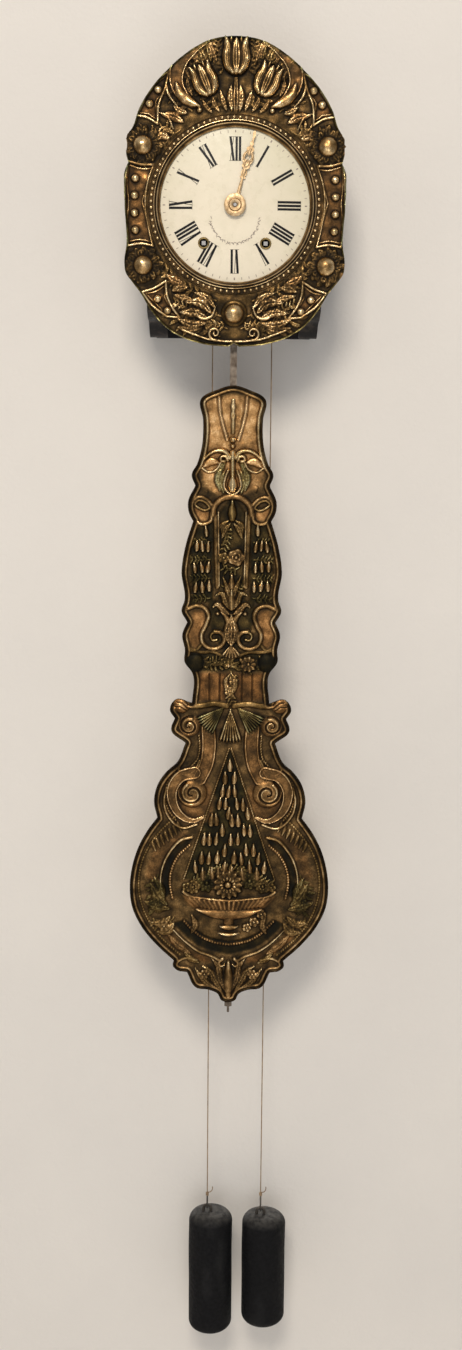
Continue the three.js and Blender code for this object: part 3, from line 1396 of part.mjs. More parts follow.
// Turns of cord on a drum: it starts out of the back flange, winds forward and ends straight down.
function woundCord(place) {
  const turns = range(0, 1, woundTurns * woundSteps).map((share) => {
    const angle = -2 * Math.PI * woundTurns * (1 - share);
    const depth = cordDepth - woundPitch * woundTurns * (1 - share);
    return [...polar(...place, cordRunRadius, -angle), depth];
  });
  const [startX, startY, startZ] = turns[0];
  const entry = [2, 1].map((step) => [
    startX,
    startY + cordRadius * 0.6 * (2 - step),
    startZ - step * cordRadius * 1.6,
  ]);
  const end = turns[turns.length - 1];
  const exit = [end[0], end[1] - 2 * cordRadius, end[2]];
  const route = [...entry, ...turns, exit];
  reportGap(route);
  return tube(route, cordRadius, woundSides);
}

// The least gap between one turn of the cord and another, measured on the points of its route.
function reportGap(route) {
  let least = Infinity;
  route.forEach(([x, y, z], i) => {
    for (let j = i + woundSteps / 2; j < route.length; j += 1) {
      const [a, b, c] = route[j];
      least = Math.min(least, Math.hypot(a - x, b - y, c - z));
    }
  });
  console.log(`least gap between turns of the cord: ${(least - 2 * cordRadius).toFixed(2)} mm`);
}

const cordTop = -drumDrop - 2 * cordRadius - runGap;

// The straight fall of the cord, from the drum to the eye of the weight's hook.
function cordFall(x) {
  const section = shapeOf(times(wireSides, (i) => polar(0, 0, cordRadius, (2 * Math.PI * i) / wireSides)));
  const top = new THREE.Vector3(x, cordTop, cordDepth);
  const path = new THREE.LineCurve3(top, new THREE.Vector3(x, cordEnd, cordDepth));
  return solid(new THREE.ExtrudeGeometry(section, { steps: cordSteps, extrudePath: path }));
}

const goingX = drumOffset + cordRunRadius;
const strikeX = -drumOffset + cordRunRadius;

function weightSolid(x, top, height) {
  const corner = (centre, from, to) =>
    arc(weightRadius - weightFillet, centre, weightFillet, from, to, 3);
  const profile = [
    [0, top - height],
    ...corner(top - height + weightFillet, -Math.PI / 2, 0),
    ...corner(top - weightFillet, 0, Math.PI / 2),
    [0, top],
  ];
  const body = spun(profile, roundSides, x + stapleOffset, cordDepth);
  const half = stapleHalfWidth - stapleWire;
  const foot = top - stapleWire;
  const arch = arc(x, top + 2 * stapleWire, half, Math.PI, 0, 6);
  const legs = [[x - half, foot], ...arch, [x + half, foot]];
  return join(body, tube(legs.map(([a, b]) => [a, b, cordDepth]), stapleWire, 6));
}

// A wire hook: its crook goes under the staple, and its eye holds the cord.
function hookSolid(x, top) {
  const crownHeight = top + 2 * stapleWire + stapleHalfWidth - stapleWire;
  const crook = arc(0, crownHeight, stapleWire + wireRadius + runGap, 0.9 * Math.PI, 2 * Math.PI, 7);
  const eyeCentre = cordEnd - runGap - wireRadius - eyeRadius;
  const shank = crook[crook.length - 1][0];
  const eye = arc(0, eyeCentre, eyeRadius, 0, 1.55 * Math.PI, 8);
  const route = [...crook, [shank, (crownHeight + eyeCentre) / 2], ...eye];
  return tube(route.map(([z, y]) => [x, y, cordDepth + z]), wireRadius, 6);
}

// Materials

const metal = (color, roughness) => new THREE.MeshStandardMaterial({ color, roughness, metalness: 1 });
const plain = (color, roughness) => new THREE.MeshStandardMaterial({ color, roughness, metalness: 0 });
const gilt = metal('#a8814a', 0.38);
const brass = metal('#b48f4c', 0.4);
const brightGilt = metal('#d2a860', 0.3);
const steel = metal('#8d8a84', 0.4);
const iron = metal('#4a4641', 0.6);
const rodIron = metal('#5d4f41', 0.6);
const bellBronze = metal('#9a7a45', 0.4);
const lead = metal('#6a6a6c', 0.7);
const castIron = plain('#2c2c2e', 0.75);
const blackWood = plain('#1d1b1a', 0.7);
const enamel = plain('#f1e7d2', 0.15);
const twine = plain('#a08c6c', 0.9);

// The whole clock

const clock = new THREE.Group();

function add(name, made, material) {
  const mesh = new THREE.Mesh(geometryOf(made), material);
  mesh.name = name;
  clock.add(mesh);
}

add('bracket_back_board', backBoard, blackWood);
add('bracket_arm_left', bracketArm(-1), blackWood);
add('bracket_arm_right', bracketArm(1), blackWood);
add('bracket_screw_left', bracketScrew(screwPlaces[0]), steel);
add('bracket_screw_right', bracketScrew(screwPlaces[1]), steel);

add('cage_frame', cageFrame, iron);
add('cage_top_plate', topPlate, iron);
add('cage_back_sheet', backSheet, iron);
add('side_door_left', door(-1), iron);
add('side_door_right', door(1), iron);
add('door_hook_left', doorHook(-1), steel);
add('door_hook_right', doorHook(1), steel);
add('going_front_bar', goingFrontBar, iron);
add('going_back_bar', goingBackBar, iron);
add('strike_front_bar', strikeFrontBar, iron);
add('strike_back_bar', strikeBackBar, iron);

add('going_drum', drum(goingDrumPlace), steel);
add('going_great_wheel', greatWheel(goingDrumPlace, secondArborAngle), brass);
add('going_click', click(goingDrumPlace), steel);
add('second_wheel', secondWheel, brass);
add('third_wheel', thirdWheel, brass);
add('escape_wheel', escapeWheelSolid(), brass);
add('anchor', anchorSolid(), steel);
add('crutch', crutchSolid(), steel);

add('strike_drum', drum(strikeDrumPlace), steel);
add('strike_great_wheel', greatWheel(strikeDrumPlace, pinArborAngle), brass);
add('strike_click', click(strikeDrumPlace), steel);
add('pin_wheel', pinWheel, brass);
add('warning_wheel', warningWheel, brass);
add('fly', flySolid(), brass);
add('hammer', hammerSolid(), steel);
add('bell', bell, bellBronze);
add('bell_stand', bellStand, steel);
add('bell_nut', bellNut, steel);

add('minute_arbor', minuteArbor, steel);
add('motion_wheel', motionWheel, brass);
add('hour_wheel', hourWheel, brass);
add('hour_hand', hand(hourHandLength, hourHandBack, hourPipeRadius), brightGilt);
add('minute_hand', hand(minuteHandLength, minuteHandBack, minuteArborRadius), brightGilt);
add('hand_collar', collar, brightGilt);

add('dial', dialSolid(), enamel);
add('eyelet_left', eyelet(strikeDrumPlace), brass);
add('eyelet_right', eyelet(goingDrumPlace), brass);
add('bezel', bezelSolid(), gilt);
add('fronton', frontonSolid(), gilt);

add('suspension_cock', suspensionCock(), steel);
add('suspension_spring', suspensionSpring, steel);
add('pendulum_rod', rodSolid(), rodIron);
add('pendulum_plate', plateSolid(), gilt);
add('pendulum_frame', plateFrame(), iron);
add('pendulum_bob', bob, lead);
add('rating_nut', ratingNut, rodIron);

add('going_cord_wound', woundCord(goingDrumPlace), twine);
add('strike_cord_wound', woundCord(strikeDrumPlace), twine);
add('going_cord', cordFall(goingX), twine);
add('strike_cord', cordFall(strikeX), twine);
add('going_hook', hookSolid(goingX, goingWeightTop), iron);
add('strike_hook', hookSolid(strikeX, strikeWeightTop), iron);
add('going_weight', weightSolid(goingX, goingWeightTop, goingWeightHeight), castIron);
add('strike_weight', weightSolid(strikeX, strikeWeightTop, strikeWeightHeight), castIron);

// The clock stands upright, with its origin on the wall at the middle of the back board.
clock.rotation.x = Math.PI / 2;
clock.position.z = dialAboveMount;

const group = new THREE.Group();
group.add(clock);

export default group;
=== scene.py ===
"""The looks of a comtoise wall clock, with its stamped brass front and pendulum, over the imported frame."""

import json
import math

import bmesh
import bpy
import numpy as np
from mathutils import Matrix, Vector
from mathutils.geometry import tessellate_polygon


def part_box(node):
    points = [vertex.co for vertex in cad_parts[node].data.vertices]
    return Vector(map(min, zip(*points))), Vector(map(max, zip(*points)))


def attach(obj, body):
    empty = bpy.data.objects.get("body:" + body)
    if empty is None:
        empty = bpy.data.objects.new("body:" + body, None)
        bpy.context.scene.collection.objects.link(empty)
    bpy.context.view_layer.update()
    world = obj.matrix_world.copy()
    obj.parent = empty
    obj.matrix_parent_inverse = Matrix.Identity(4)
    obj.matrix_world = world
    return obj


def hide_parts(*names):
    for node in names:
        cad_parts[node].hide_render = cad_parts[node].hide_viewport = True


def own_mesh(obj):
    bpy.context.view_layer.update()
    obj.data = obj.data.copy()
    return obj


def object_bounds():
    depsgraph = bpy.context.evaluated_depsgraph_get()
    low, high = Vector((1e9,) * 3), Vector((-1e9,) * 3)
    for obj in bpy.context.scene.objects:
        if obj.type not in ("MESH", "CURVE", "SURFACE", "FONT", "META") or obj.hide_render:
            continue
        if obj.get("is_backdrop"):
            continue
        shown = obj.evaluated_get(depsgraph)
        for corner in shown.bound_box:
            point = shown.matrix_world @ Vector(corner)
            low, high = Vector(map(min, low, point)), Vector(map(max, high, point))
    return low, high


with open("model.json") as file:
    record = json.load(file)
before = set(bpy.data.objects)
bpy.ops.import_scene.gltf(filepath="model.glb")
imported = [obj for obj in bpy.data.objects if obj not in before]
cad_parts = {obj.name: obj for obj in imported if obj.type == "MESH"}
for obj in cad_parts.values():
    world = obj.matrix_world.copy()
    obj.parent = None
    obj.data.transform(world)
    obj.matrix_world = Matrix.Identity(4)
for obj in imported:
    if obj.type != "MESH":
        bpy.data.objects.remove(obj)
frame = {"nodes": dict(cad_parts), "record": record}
CAD_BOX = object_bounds()

# Units and places: drawings are in millimetres across, up from the dial's centre, and out from the wall

MM = 0.001
DEG = math.pi / 180
FULL_TURN = 2 * math.pi
DIAL_LOW, DIAL_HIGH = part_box("dial")
DIAL_HEIGHT = (DIAL_LOW.z + DIAL_HIGH.z) / 2


def place(across, up, out):
    """A point of the drawings as a point of the scene, in metres."""
    return Vector((across * MM, -out * MM, up * MM + DIAL_HEIGHT))


def reach(node):
    """A node's box as its lowest and highest values across, up and out."""
    low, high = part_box(node)
    return (
        Vector((low.x, low.z - DIAL_HEIGHT, -high.y)) / MM,
        Vector((high.x, high.z - DIAL_HEIGHT, -low.y)) / MM,
    )


# Camera

CAMERA_PLACE = Vector((-0.015, -2.690, -0.104))
CAMERA_PITCH = 10.8 * DEG
CAMERA_YAW = 0.35 * DEG
CAMERA_ROLL = 0.5 * DEG
CAMERA_LENS = 42.16
CAMERA_SHIFT = 0.0089


def make_camera():
    """The camera at the photograph's viewing angle, fitted to the clock's outlines."""
    data = bpy.data.cameras.new("camera")
    data.lens = CAMERA_LENS
    data.shift_y = CAMERA_SHIFT
    camera = bpy.data.objects.new("camera", data)
    bpy.context.scene.collection.objects.link(camera)
    level = math.cos(CAMERA_PITCH)
    forward = Vector((math.sin(CAMERA_YAW) * level, math.cos(CAMERA_YAW) * level, -math.sin(CAMERA_PITCH)))
    right = forward.cross(Vector((0, 0, 1))).normalized()
    up = right.cross(forward)
    rolled_right = math.cos(CAMERA_ROLL) * right + math.sin(CAMERA_ROLL) * up
    rolled_up = rolled_right.cross(forward)
    axes = Matrix((rolled_right, rolled_up, -forward)).transposed()
    camera.matrix_world = Matrix.Translation(CAMERA_PLACE) @ axes.to_4x4()
    bpy.context.scene.camera = camera


make_camera()


# Shapes: points, paths and meshes


def turning(loop):
    """1 for a loop that runs anticlockwise, and -1 for one that runs clockwise."""
    points = np.asarray(loop, float)
    after = np.roll(points, -1, 0)
    return float(np.sign((points[:, 0] * after[:, 1] - points[:, 1] * after[:, 0]).sum()))


def slope(before, point, after, span, corner, round_corner, hand):
    """The direction of a curve through a point, as long as the span it is used for."""
    first, second = point - before, after - point
    lengths = np.linalg.norm(first), np.linalg.norm(second)
    if not lengths[0] or not lengths[1]:
        return span
    bend = math.acos(np.clip(first @ second / (lengths[0] * lengths[1]), -1, 1))
    outward = hand * (first[0] * second[1] - first[1] * second[0]) > 0
    if bend > (round_corner if outward else corner):
        return span
    heading = first / lengths[0] ** 2 + second / lengths[1] ** 2
    return heading / max(np.linalg.norm(heading), MM) * np.linalg.norm(span)


def smooth(points, spacing, closed=False, corner=180 * DEG, round_corner=0):
    """Points about a spacing apart on a smooth curve, kept sharp where it bends by more than a corner.

    Bends that point outwards stay round up to a corner of their own."""
    given = [np.array(point, float) for point in points]
    count = len(given)
    hand = turning(given) if closed else 0
    round_corner = max(corner, round_corner)
    made = []
    for i in range(count if closed else count - 1):
        a, b = given[i], given[(i + 1) % count]
        before = given[i - 1] if closed or i else a
        after = given[(i + 2) % count] if closed or i + 2 < count else b
        bends = (corner, round_corner, hand)
        slopes = [slope(before, a, b, b - a, *bends), slope(a, b, after, b - a, *bends)]
        steps = max(1, round(np.linalg.norm(b - a) / spacing))
        for t in np.arange(steps) / steps:
            made.append(
                (2 * t**3 - 3 * t**2 + 1) * a
                + (3 * t**2 - 2 * t**3) * b
                + (t**3 - 2 * t**2 + t) * slopes[0]
                + (t**3 - t**2) * slopes[1]
            )
    if not closed:
        made.append(given[-1])
    return np.array(made)


def mirrored(points):
    return [(-across, up) for across, up in points]


def moved(points, to, turn=0, size=1):
    """A motif's points at their place: turned clockwise, and drawn to a size."""
    c, s = math.cos(turn), math.sin(turn)
    return [(to[0] + size * (x * c + y * s), to[1] + size * (y * c - x * s)) for x, y in points]


WINDING_STEPS = 14
WINDING_DEPTH = 0.86


def spiral(centre, radius, turns, start, hand):
    """A path that winds inwards to a centre. Its hand is 1 for anticlockwise."""
    steps = round(WINDING_STEPS * turns)
    path = []
    for i in range(steps + 1):
        share = i / steps
        angle = start + hand * share * turns * FULL_TURN
        distance = radius * (1 - WINDING_DEPTH * share)
        path.append((centre[0] + distance * math.cos(angle), centre[1] + distance * math.sin(angle)))
    return path


def section(node, out):
    """The closed loops in which a plane that far from the wall cuts a node."""
    mesh = bmesh.new()
    mesh.from_mesh(bpy.data.objects[node].data)
    bmesh.ops.remove_doubles(mesh, verts=mesh.verts, dist=MM * MM)
    parts = [*mesh.verts, *mesh.edges, *mesh.faces]
    cut = bmesh.ops.bisect_plane(mesh, geom=parts, plane_co=(0, -out * MM, 0), plane_no=(0, 1, 0))
    beside = {}
    for edge in cut["geom_cut"]:
        if isinstance(edge, bmesh.types.BMEdge):
            for a, b in (edge.verts, reversed(edge.verts)):
                beside.setdefault(a, []).append(b)
    loops = []
    while beside:
        loop = [next(iter(beside))]
        while loop[-1] in beside:
            onward = [point for point in beside.pop(loop[-1]) if point in beside]
            if onward:
                loop.append(onward[0])
        loops.append([(point.co.x / MM, (point.co.z - DIAL_HEIGHT) / MM) for point in loop])
    mesh.free()
    return sorted((corners_of(loop) for loop in loops), key=len, reverse=True)


STRAIGHT = 1.5 * DEG


def corners_of(loop):
    """A loop without the points in the middle of its straight edges."""
    points = np.array(loop[:-1] if loop[0] == loop[-1] else loop)
    first, second = points - np.roll(points, 1, 0), np.roll(points, -1, 0) - points
    bend = np.abs(first[:, 0] * second[:, 1] - first[:, 1] * second[:, 0])
    lengths = np.linalg.norm(first, axis=1) * np.linalg.norm(second, axis=1)
    return points[bend > math.sin(STRAIGHT) * lengths]


def new_piece(name, points, faces, material, smooth_faces=True):
    """A mesh piece, from points in metres."""
    mesh = bpy.data.meshes.new(name)
    mesh.from_pydata([tuple(point) for point in points], [], faces)
    mesh.materials.append(material)
    if smooth_faces:
        mesh.shade_smooth()
    else:
        mesh.shade_flat()
    piece = bpy.data.objects.new(name, mesh)
    bpy.context.scene.collection.objects.link(piece)
    return piece


def label(piece, name, values):
    """Gives each point of a piece a value that its material reads."""
    piece.data.attributes.new(name, "FLOAT", "POINT").data.foreach_set("value", values)


def grid_faces(rows, columns, wrap_rows=False, wrap_columns=False, start=0):
    """Quads over rows of points, which may close round on themselves either way."""
    faces = []
    for i in range(rows if wrap_rows else rows - 1):
        for j in range(columns if wrap_columns else columns - 1):
            a, b = i * columns, ((i + 1) % rows) * columns
            k = (j + 1) % columns
            faces.append((start + a + j, start + a + k, start + b + k, start + b + j))
    return faces


class Solid:
    """Points and faces gathered for one piece."""

    def __init__(self):
        self.points = []
        self.faces = []

    def cap(self, start, rows, sides, hand):
        """Closes the first and last ring of a grid. The hand says which way round the first one runs."""
        for row, turn in ((0, hand), (rows - 1, -hand)):
            ring = [start + row * sides + i for i in range(sides)]
            self.faces.append(ring[::turn])

    def turned(self, centre, profile, sides, ripple):
        """A profile of (radius, height) spun round an upright axis, uneven by a ripple."""
        start = len(self.points)
        for radius, up in profile:
            for i in range(sides):
                angle = FULL_TURN * i / sides
                wide = radius * (1 + ripple(angle, up))
                spot = (centre.x + wide * math.cos(angle), up, centre.z + wide * math.sin(angle))
                self.points.append(place(*spot))
        self.faces += grid_faces(len(profile), sides, wrap_columns=True, start=start)
        self.cap(start, len(profile), sides, 1)

    def tube(self, path, radius, sides, lay=0, strands=0):
        """A round bar along a path, or a twisted cord where it has strands and the lay of their twist."""
        path = [Vector(point) for point in path]
        start = len(self.points)
        side = (path[1] - path[0]).normalized().orthogonal().normalized()
        run = 0
        for i, point in enumerate(path):
            last, following = path[max(i - 1, 0)], path[min(i + 1, len(path) - 1)]
            heading = (following - last).normalized()
            side = (side - heading * side.dot(heading)).normalized()
            other = heading.cross(side)
            run += (point - last).length
            turn = FULL_TURN * run / lay if lay else 0
            for j in range(sides):
                angle = FULL_TURN * j / sides
                groove = 1 - abs(math.cos(strands / 2 * (angle - turn))) if strands else 0
                offset = side * math.cos(angle) + other * math.sin(angle)
                self.points.append(place(*(point + offset * radius * (1 - STRAND_DEPTH * groove))))
        self.faces += grid_faces(len(path), sides, wrap_columns=True, start=start)
        self.cap(start, len(path), sides, -1)

    def dome(self, centre, radius, height, rings, sides):
        """A raised bead whose foot lies on a face, seen from the front."""
        start = len(self.points)
        across, up, out = centre
        for i in range(rings):
            angle = math.pi / 2 * i / rings
            wide, rise = radius * math.cos(angle), height * math.sin(angle)
            for j in range(sides):
                turn = FULL_TURN * j / sides
                spot = (across + wide * math.cos(turn), up + wide * math.sin(turn), out + rise)
                self.points.append(place(*spot))
        self.faces += grid_faces(rings, sides, wrap_columns=True, start=start)
        self.points.append(place(across, up, out + height))
        last = start + (rings - 1) * sides
        for j in range(sides):
            self.faces.append((last + j, last + (j + 1) % sides, len(self.points) - 1))
        self.faces.append([start + j for j in range(sides)][::-1])

    def piece(self, name, material, body, *nodes):
        """The finished piece: it rides on a body and stands for the nodes named."""
        made = new_piece(name, self.points, self.faces, material)
        soften(made)
        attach(made, body)
        if nodes:
            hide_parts(*nodes)
        return made


# Smooth shading that keeps real edges sharp, as modifiers, so that a carried-over mesh stays as it is

SHARP_ANGLE = 42 * DEG
WELD = 0.002 * MM


def shading_group():
    """A modifier that joins the split corners of a mesh and shades its round faces smooth."""
    group = bpy.data.node_groups.new("round_shading", "GeometryNodeTree")
    group.interface.new_socket("Geometry", in_out="INPUT", socket_type="NodeSocketGeometry")
    group.interface.new_socket("Geometry", in_out="OUTPUT", socket_type="NodeSocketGeometry")
    nodes, links = group.nodes, group.links
    entry = nodes.new("NodeGroupInput")
    merge = nodes.new("GeometryNodeMergeByDistance")
    merge.inputs["Distance"].default_value = WELD
    faces = nodes.new("GeometryNodeSetShadeSmooth")
    faces.domain = "FACE"
    edges = nodes.new("GeometryNodeSetShadeSmooth")
    edges.domain = "EDGE"
    angle = nodes.new("GeometryNodeInputMeshEdgeAngle")
    test = nodes.new("FunctionNodeCompare")
    test.operation = "LESS_THAN"
    test.inputs[1].default_value = SHARP_ANGLE
    leave = nodes.new("NodeGroupOutput")
    links.new(entry.outputs[0], merge.inputs["Geometry"])
    links.new(merge.outputs["Geometry"], faces.inputs["Geometry"])
    links.new(faces.outputs["Geometry"], edges.inputs["Geometry"])
    links.new(angle.outputs["Unsigned Angle"], test.inputs[0])
    links.new(test.outputs[0], edges.inputs["Shade Smooth"])
    links.new(edges.outputs["Geometry"], leave.inputs[0])
    return group


SHADING = shading_group()


def soften(piece, bevel=0):
    """Shades a piece, with its edges rounded a little where a bevel is given."""
    shade = piece.modifiers.new("round_shading", "NODES")
    shade.node_group = SHADING
    if bevel:
        rounding = piece.modifiers.new("edges", "BEVEL")
        rounding.width = bevel
        rounding.segments = 2
        rounding.limit_method = "ANGLE"
        rounding.angle_limit = SHARP_ANGLE
        rounding.harden_normals = False


# Materials: node trees, with positions in metres


class Surface:
    """A material's node tree, built a socket at a time."""

    def __init__(self, name, metallic=0.0, roughness=0.5, coat=0.0, specular=0.5):
        self.material = bpy.data.materials.new(name)
        self.material.use_nodes = True
        self.tree = self.material.node_tree
        self.shader = self.tree.nodes["Principled BSDF"]
        self.shader.inputs["Metallic"].default_value = metallic
        self.shader.inputs["Roughness"].default_value = roughness
        self.shader.inputs["Coat Weight"].default_value = coat
        self.shader.inputs["Specular IOR Level"].default_value = specular

    def add(self, kind, links=(), values=(), **settings):
        node = self.tree.nodes.new(kind)
        for name, value in settings.items():
            setattr(node, name, value)
        for name, socket in dict(links).items():
            self.tree.links.new(socket, node.inputs[name])
        for name, value in dict(values).items():
            node.inputs[name].default_value = value
        return node

    def places(self, stretch=(1, 1, 1)):
        where = self.add("ShaderNodeTexCoord").outputs["Object"]
        return self.add("ShaderNodeMapping", {"Vector": where}, {"Scale": stretch}).outputs["Vector"]

    def noise(self, size, detail, stretch=(1, 1, 1)):
        """Noise whose patches are about a size across."""
        values = {"Scale": 1 / size, "Detail": detail}
        return self.add("ShaderNodeTexNoise", {"Vector": self.places(stretch)}, values).outputs["Fac"]

    def cells(self, size):
        """Distances in a net of cells about a size across."""
        links, values = {"Vector": self.places()}, {"Scale": 1 / size}
        return self.add("ShaderNodeTexVoronoi", links, values).outputs["Distance"]

    def attribute(self, name):
        return self.add("ShaderNodeAttribute", attribute_name=name).outputs["Fac"]

    def upward(self):
        """How far the surface faces up."""
        normal = self.add("ShaderNodeNewGeometry").outputs["Normal"]
        return self.add("ShaderNodeSeparateXYZ", {"Vector": normal}).outputs["Z"]

    def mapped(self, value, low, high, new_low=0.0, new_high=1.0):
        values = {"From Min": low, "From Max": high, "To Min": new_low, "To Max": new_high}
        return self.add("ShaderNodeMapRange", {"Value": value}, values).outputs["Result"]

    def swing(self, noise):
        """Noise stretched to run from a half below zero to a half above."""
        return self.mapped(noise, 0.3, 0.7, -0.5, 0.5)

    def sum(self, first, second, share):
        """A value, and a share of another added to it."""
        node = self.add("ShaderNodeMath", {0: second, 2: first}, {1: share}, operation="MULTIPLY_ADD")
        return node.outputs["Value"]

    def product(self, first, second):
        return self.add("ShaderNodeMath", {0: first, 1: second}, operation="MULTIPLY").outputs["Value"]

    def ramp(self, value, stops):
        """Colours along a value: (position, red, green, blue) each."""
        node = self.add("ShaderNodeValToRGB", {"Fac": value})
        elements = node.color_ramp.elements
        while len(elements) < len(stops):
            elements.new(1)
        for element, (position, *colour) in zip(elements, stops):
            element.position = position
            element.color = (*colour, 1)
        return node.outputs["Color"]

    def blend(self, share, first, second):
        """Two colours mixed by a share that varies. A colour is a socket or three numbers."""
        links, values = {0: share}, {}
        for index, colour in ((6, first), (7, second)):
            if isinstance(colour, tuple):
                values[index] = (*colour, 1)
            else:
                links[index] = colour
        return self.add("ShaderNodeMix", links, values, data_type="RGBA").outputs[2]

    def tinted(self, colour, tint):
        """One colour multiplied by another."""
        links = {6: colour, 7: tint}
        node = self.add("ShaderNodeMix", links, {0: 1}, data_type="RGBA", blend_type="MULTIPLY")
        return node.outputs[2]

    def paint(self, **sockets):
        """Links values to the shader's sockets, whose names have _ for a space."""
        for name, socket in sockets.items():
            self.tree.links.new(socket, self.shader.inputs[name.replace("_", " ")])

    def bumps(self, *heights):
        """Fine relief: (value, height in metres) each, one over the other."""
        normal = None
        for value, height in heights:
            node = self.add("ShaderNodeBump", {"Height": value}, {"Distance": height})
            if normal:
                self.tree.links.new(normal, node.inputs["Normal"])
            normal = node.outputs["Normal"]
        self.tree.links.new(normal, self.shader.inputs["Normal"])


# Tones of the stamped brass, from its rolled iron edge through green and brown to copper
IRON, GREEN, GOLD, COPPER = -2.0, -1.0, 0.0, 1.0

PATINA_STOPS = [
    (0.00, 0.012, 0.007, 0.003),
    (0.25, 0.030, 0.018, 0.007),
    (0.45, 0.075, 0.043, 0.016),
    (0.62, 0.175, 0.098, 0.036),
    (0.80, 0.390, 0.235, 0.093),
    (1.00, 0.800, 0.590, 0.310),
]
TONE_STOPS = [
    (0.00, 0.13, 0.13, 0.15),
    (0.33, 0.30, 0.40, 0.36),
    (0.52, 0.70, 0.72, 0.62),
    (0.67, 1.00, 1.00, 1.00),
    (1.00, 1.12, 0.86, 0.70),
]


# The sizes of each material's patches, and the heights of its fine relief
BRASS_STAINS, BRASS_SPECKS, BRASS_DENTS = 18 * MM, 1.6 * MM, 2.6 * MM
BRASS_SPECK_RISE, BRASS_DENT_RISE = 0.10 * MM, 0.35 * MM
METAL_SCRATCHES = 0.5 * MM
CAST_TOP_PATCHES, CAST_RUBS, CAST_GLOSS, CAST_LUMPS, CAST_GRAIN = 9 * MM, 28 * MM, 6 * MM, 5 * MM, 0.9 * MM
CAST_LUMP_RISE, CAST_GRAIN_RISE = 0.5 * MM, 0.12 * MM
WOOD_GRAIN, WOOD_WEAR, WOOD_RISE = 3 * MM, 22 * MM, 0.25 * MM
ENAMEL_STAINS, ENAMEL_CRAZING, ENAMEL_GLOSS = 30 * MM, 7 * MM, 12 * MM
ENAMEL_WAVES, ENAMEL_PITS = 26 * MM, 1.2 * MM
ENAMEL_WAVE_RISE, ENAMEL_PIT_RISE = 0.3 * MM, 0.012 * MM
INK_THIN, INK_RISE = 2.4 * MM, 0.01 * MM
TWINE_FIBRES, TWINE_PATCHES, TWINE_RISE = 0.5 * MM, 14 * MM, 0.12 * MM


def stamped_brass():
    """Old gilt stamped brass: dark patina where it is low, and bare bright metal where it is high."""
    made = Surface("stamped_brass", specular=0.25)
    stains = made.noise(BRASS_STAINS, 5)
    specks = made.noise(BRASS_SPECKS, 6)
    rubbed = made.sum(made.mapped(made.attribute("wear"), -1.5, 1.5), made.swing(stains), 0.36)
    rubbed = made.sum(rubbed, made.swing(specks), 0.17)
    tone = made.sum(made.mapped(made.attribute("tone"), IRON, COPPER), made.swing(stains), 0.1)
    made.paint(
        Base_Color=made.tinted(made.ramp(rubbed, PATINA_STOPS), made.ramp(tone, TONE_STOPS)),
        Metallic=made.mapped(rubbed, 0.1, 0.6, 0.6, 0.96),
        Roughness=made.mapped(rubbed, 0.1, 0.95, 0.62, 0.27),
    )
    made.bumps((made.noise(BRASS_DENTS, 6), BRASS_DENT_RISE), (specks, BRASS_SPECK_RISE))
    return made.material


def metal(name, dark, bright, rough, size, metallic=1.0, height=0.05, stretch=(1, 1, 1)):
    """Plain metal with tarnish in patches, fine scratches and a slightly uneven face."""
    made = Surface(name, metallic=metallic)
    patches = made.noise(size * MM, 6)
    scratches = made.noise(METAL_SCRATCHES, 3, stretch)
    mixed = made.sum(made.mapped(patches, 0.3, 0.7), made.swing(scratches), 0.25)
    made.paint(
        Base_Color=made.ramp(mixed, [(0, *dark), (1, *bright)]),
        Roughness=made.mapped(mixed, 0, 1, rough[1], rough[0]),
    )
    made.bumps((patches, height * MM), (scratches, 0.3 * height * MM))
    return made.material


def black_iron():
    """Cast iron painted black, paler in patches where it faces up, and rubbed grey in places."""
    made = Surface("black_iron", metallic=0.1, specular=0.18)
    top_patches = made.mapped(made.noise(CAST_TOP_PATCHES, 5), 0.25, 0.6)
    # faces that point up get a paler colour, in patches
    paler_on_top = made.product(made.mapped(made.upward(), 0.15, 0.95), top_patches)
    rubs = made.mapped(made.noise(CAST_RUBS, 8, (1, 1, 0.5)), 0.52, 0.72)
    colour = made.blend(rubs, (0.0035, 0.0034, 0.0038), (0.010, 0.0098, 0.0098))
    made.paint(
        Base_Color=made.blend(paler_on_top, colour, (0.052, 0.048, 0.042)),
        Roughness=made.mapped(made.noise(CAST_GLOSS, 5), 0.2, 0.8, 0.58, 0.88),
    )
    made.bumps((made.noise(CAST_LUMPS, 6), CAST_LUMP_RISE), (made.noise(CAST_GRAIN, 3), CAST_GRAIN_RISE))
    return made.material


def black_wood():
    """Dark stained wood, with its grain running up, rubbed pale in patches."""
    made = Surface("black_wood", specular=0.2)
    grain = made.noise(WOOD_GRAIN, 6, (6, 6, 0.35))
    worn = made.mapped(made.noise(WOOD_WEAR, 7), 0.5, 0.68)
    stained = made.ramp(grain, [(0.3, 0.009, 0.009, 0.010), (0.8, 0.030, 0.027, 0.025)])
    made.paint(
        Base_Color=made.blend(worn, stained, (0.060, 0.048, 0.038)),
        Roughness=made.mapped(grain, 0.2, 0.8, 0.6, 0.85),
    )
    made.bumps((grain, WOOD_RISE))
    return made.material


# the point round which the enamel is palest; it grows darker and greener away from it
ENAMEL_CENTRE = place(-18, -42, 180)
ENAMEL_EDGE = 200 * MM
ENAMEL_STOPS = [
    (0.0, 0.86, 0.76, 0.58),
    (0.45, 0.77, 0.68, 0.51),
    (0.8, 0.66, 0.60, 0.42),
    (1.0, 0.52, 0.49, 0.33),
]


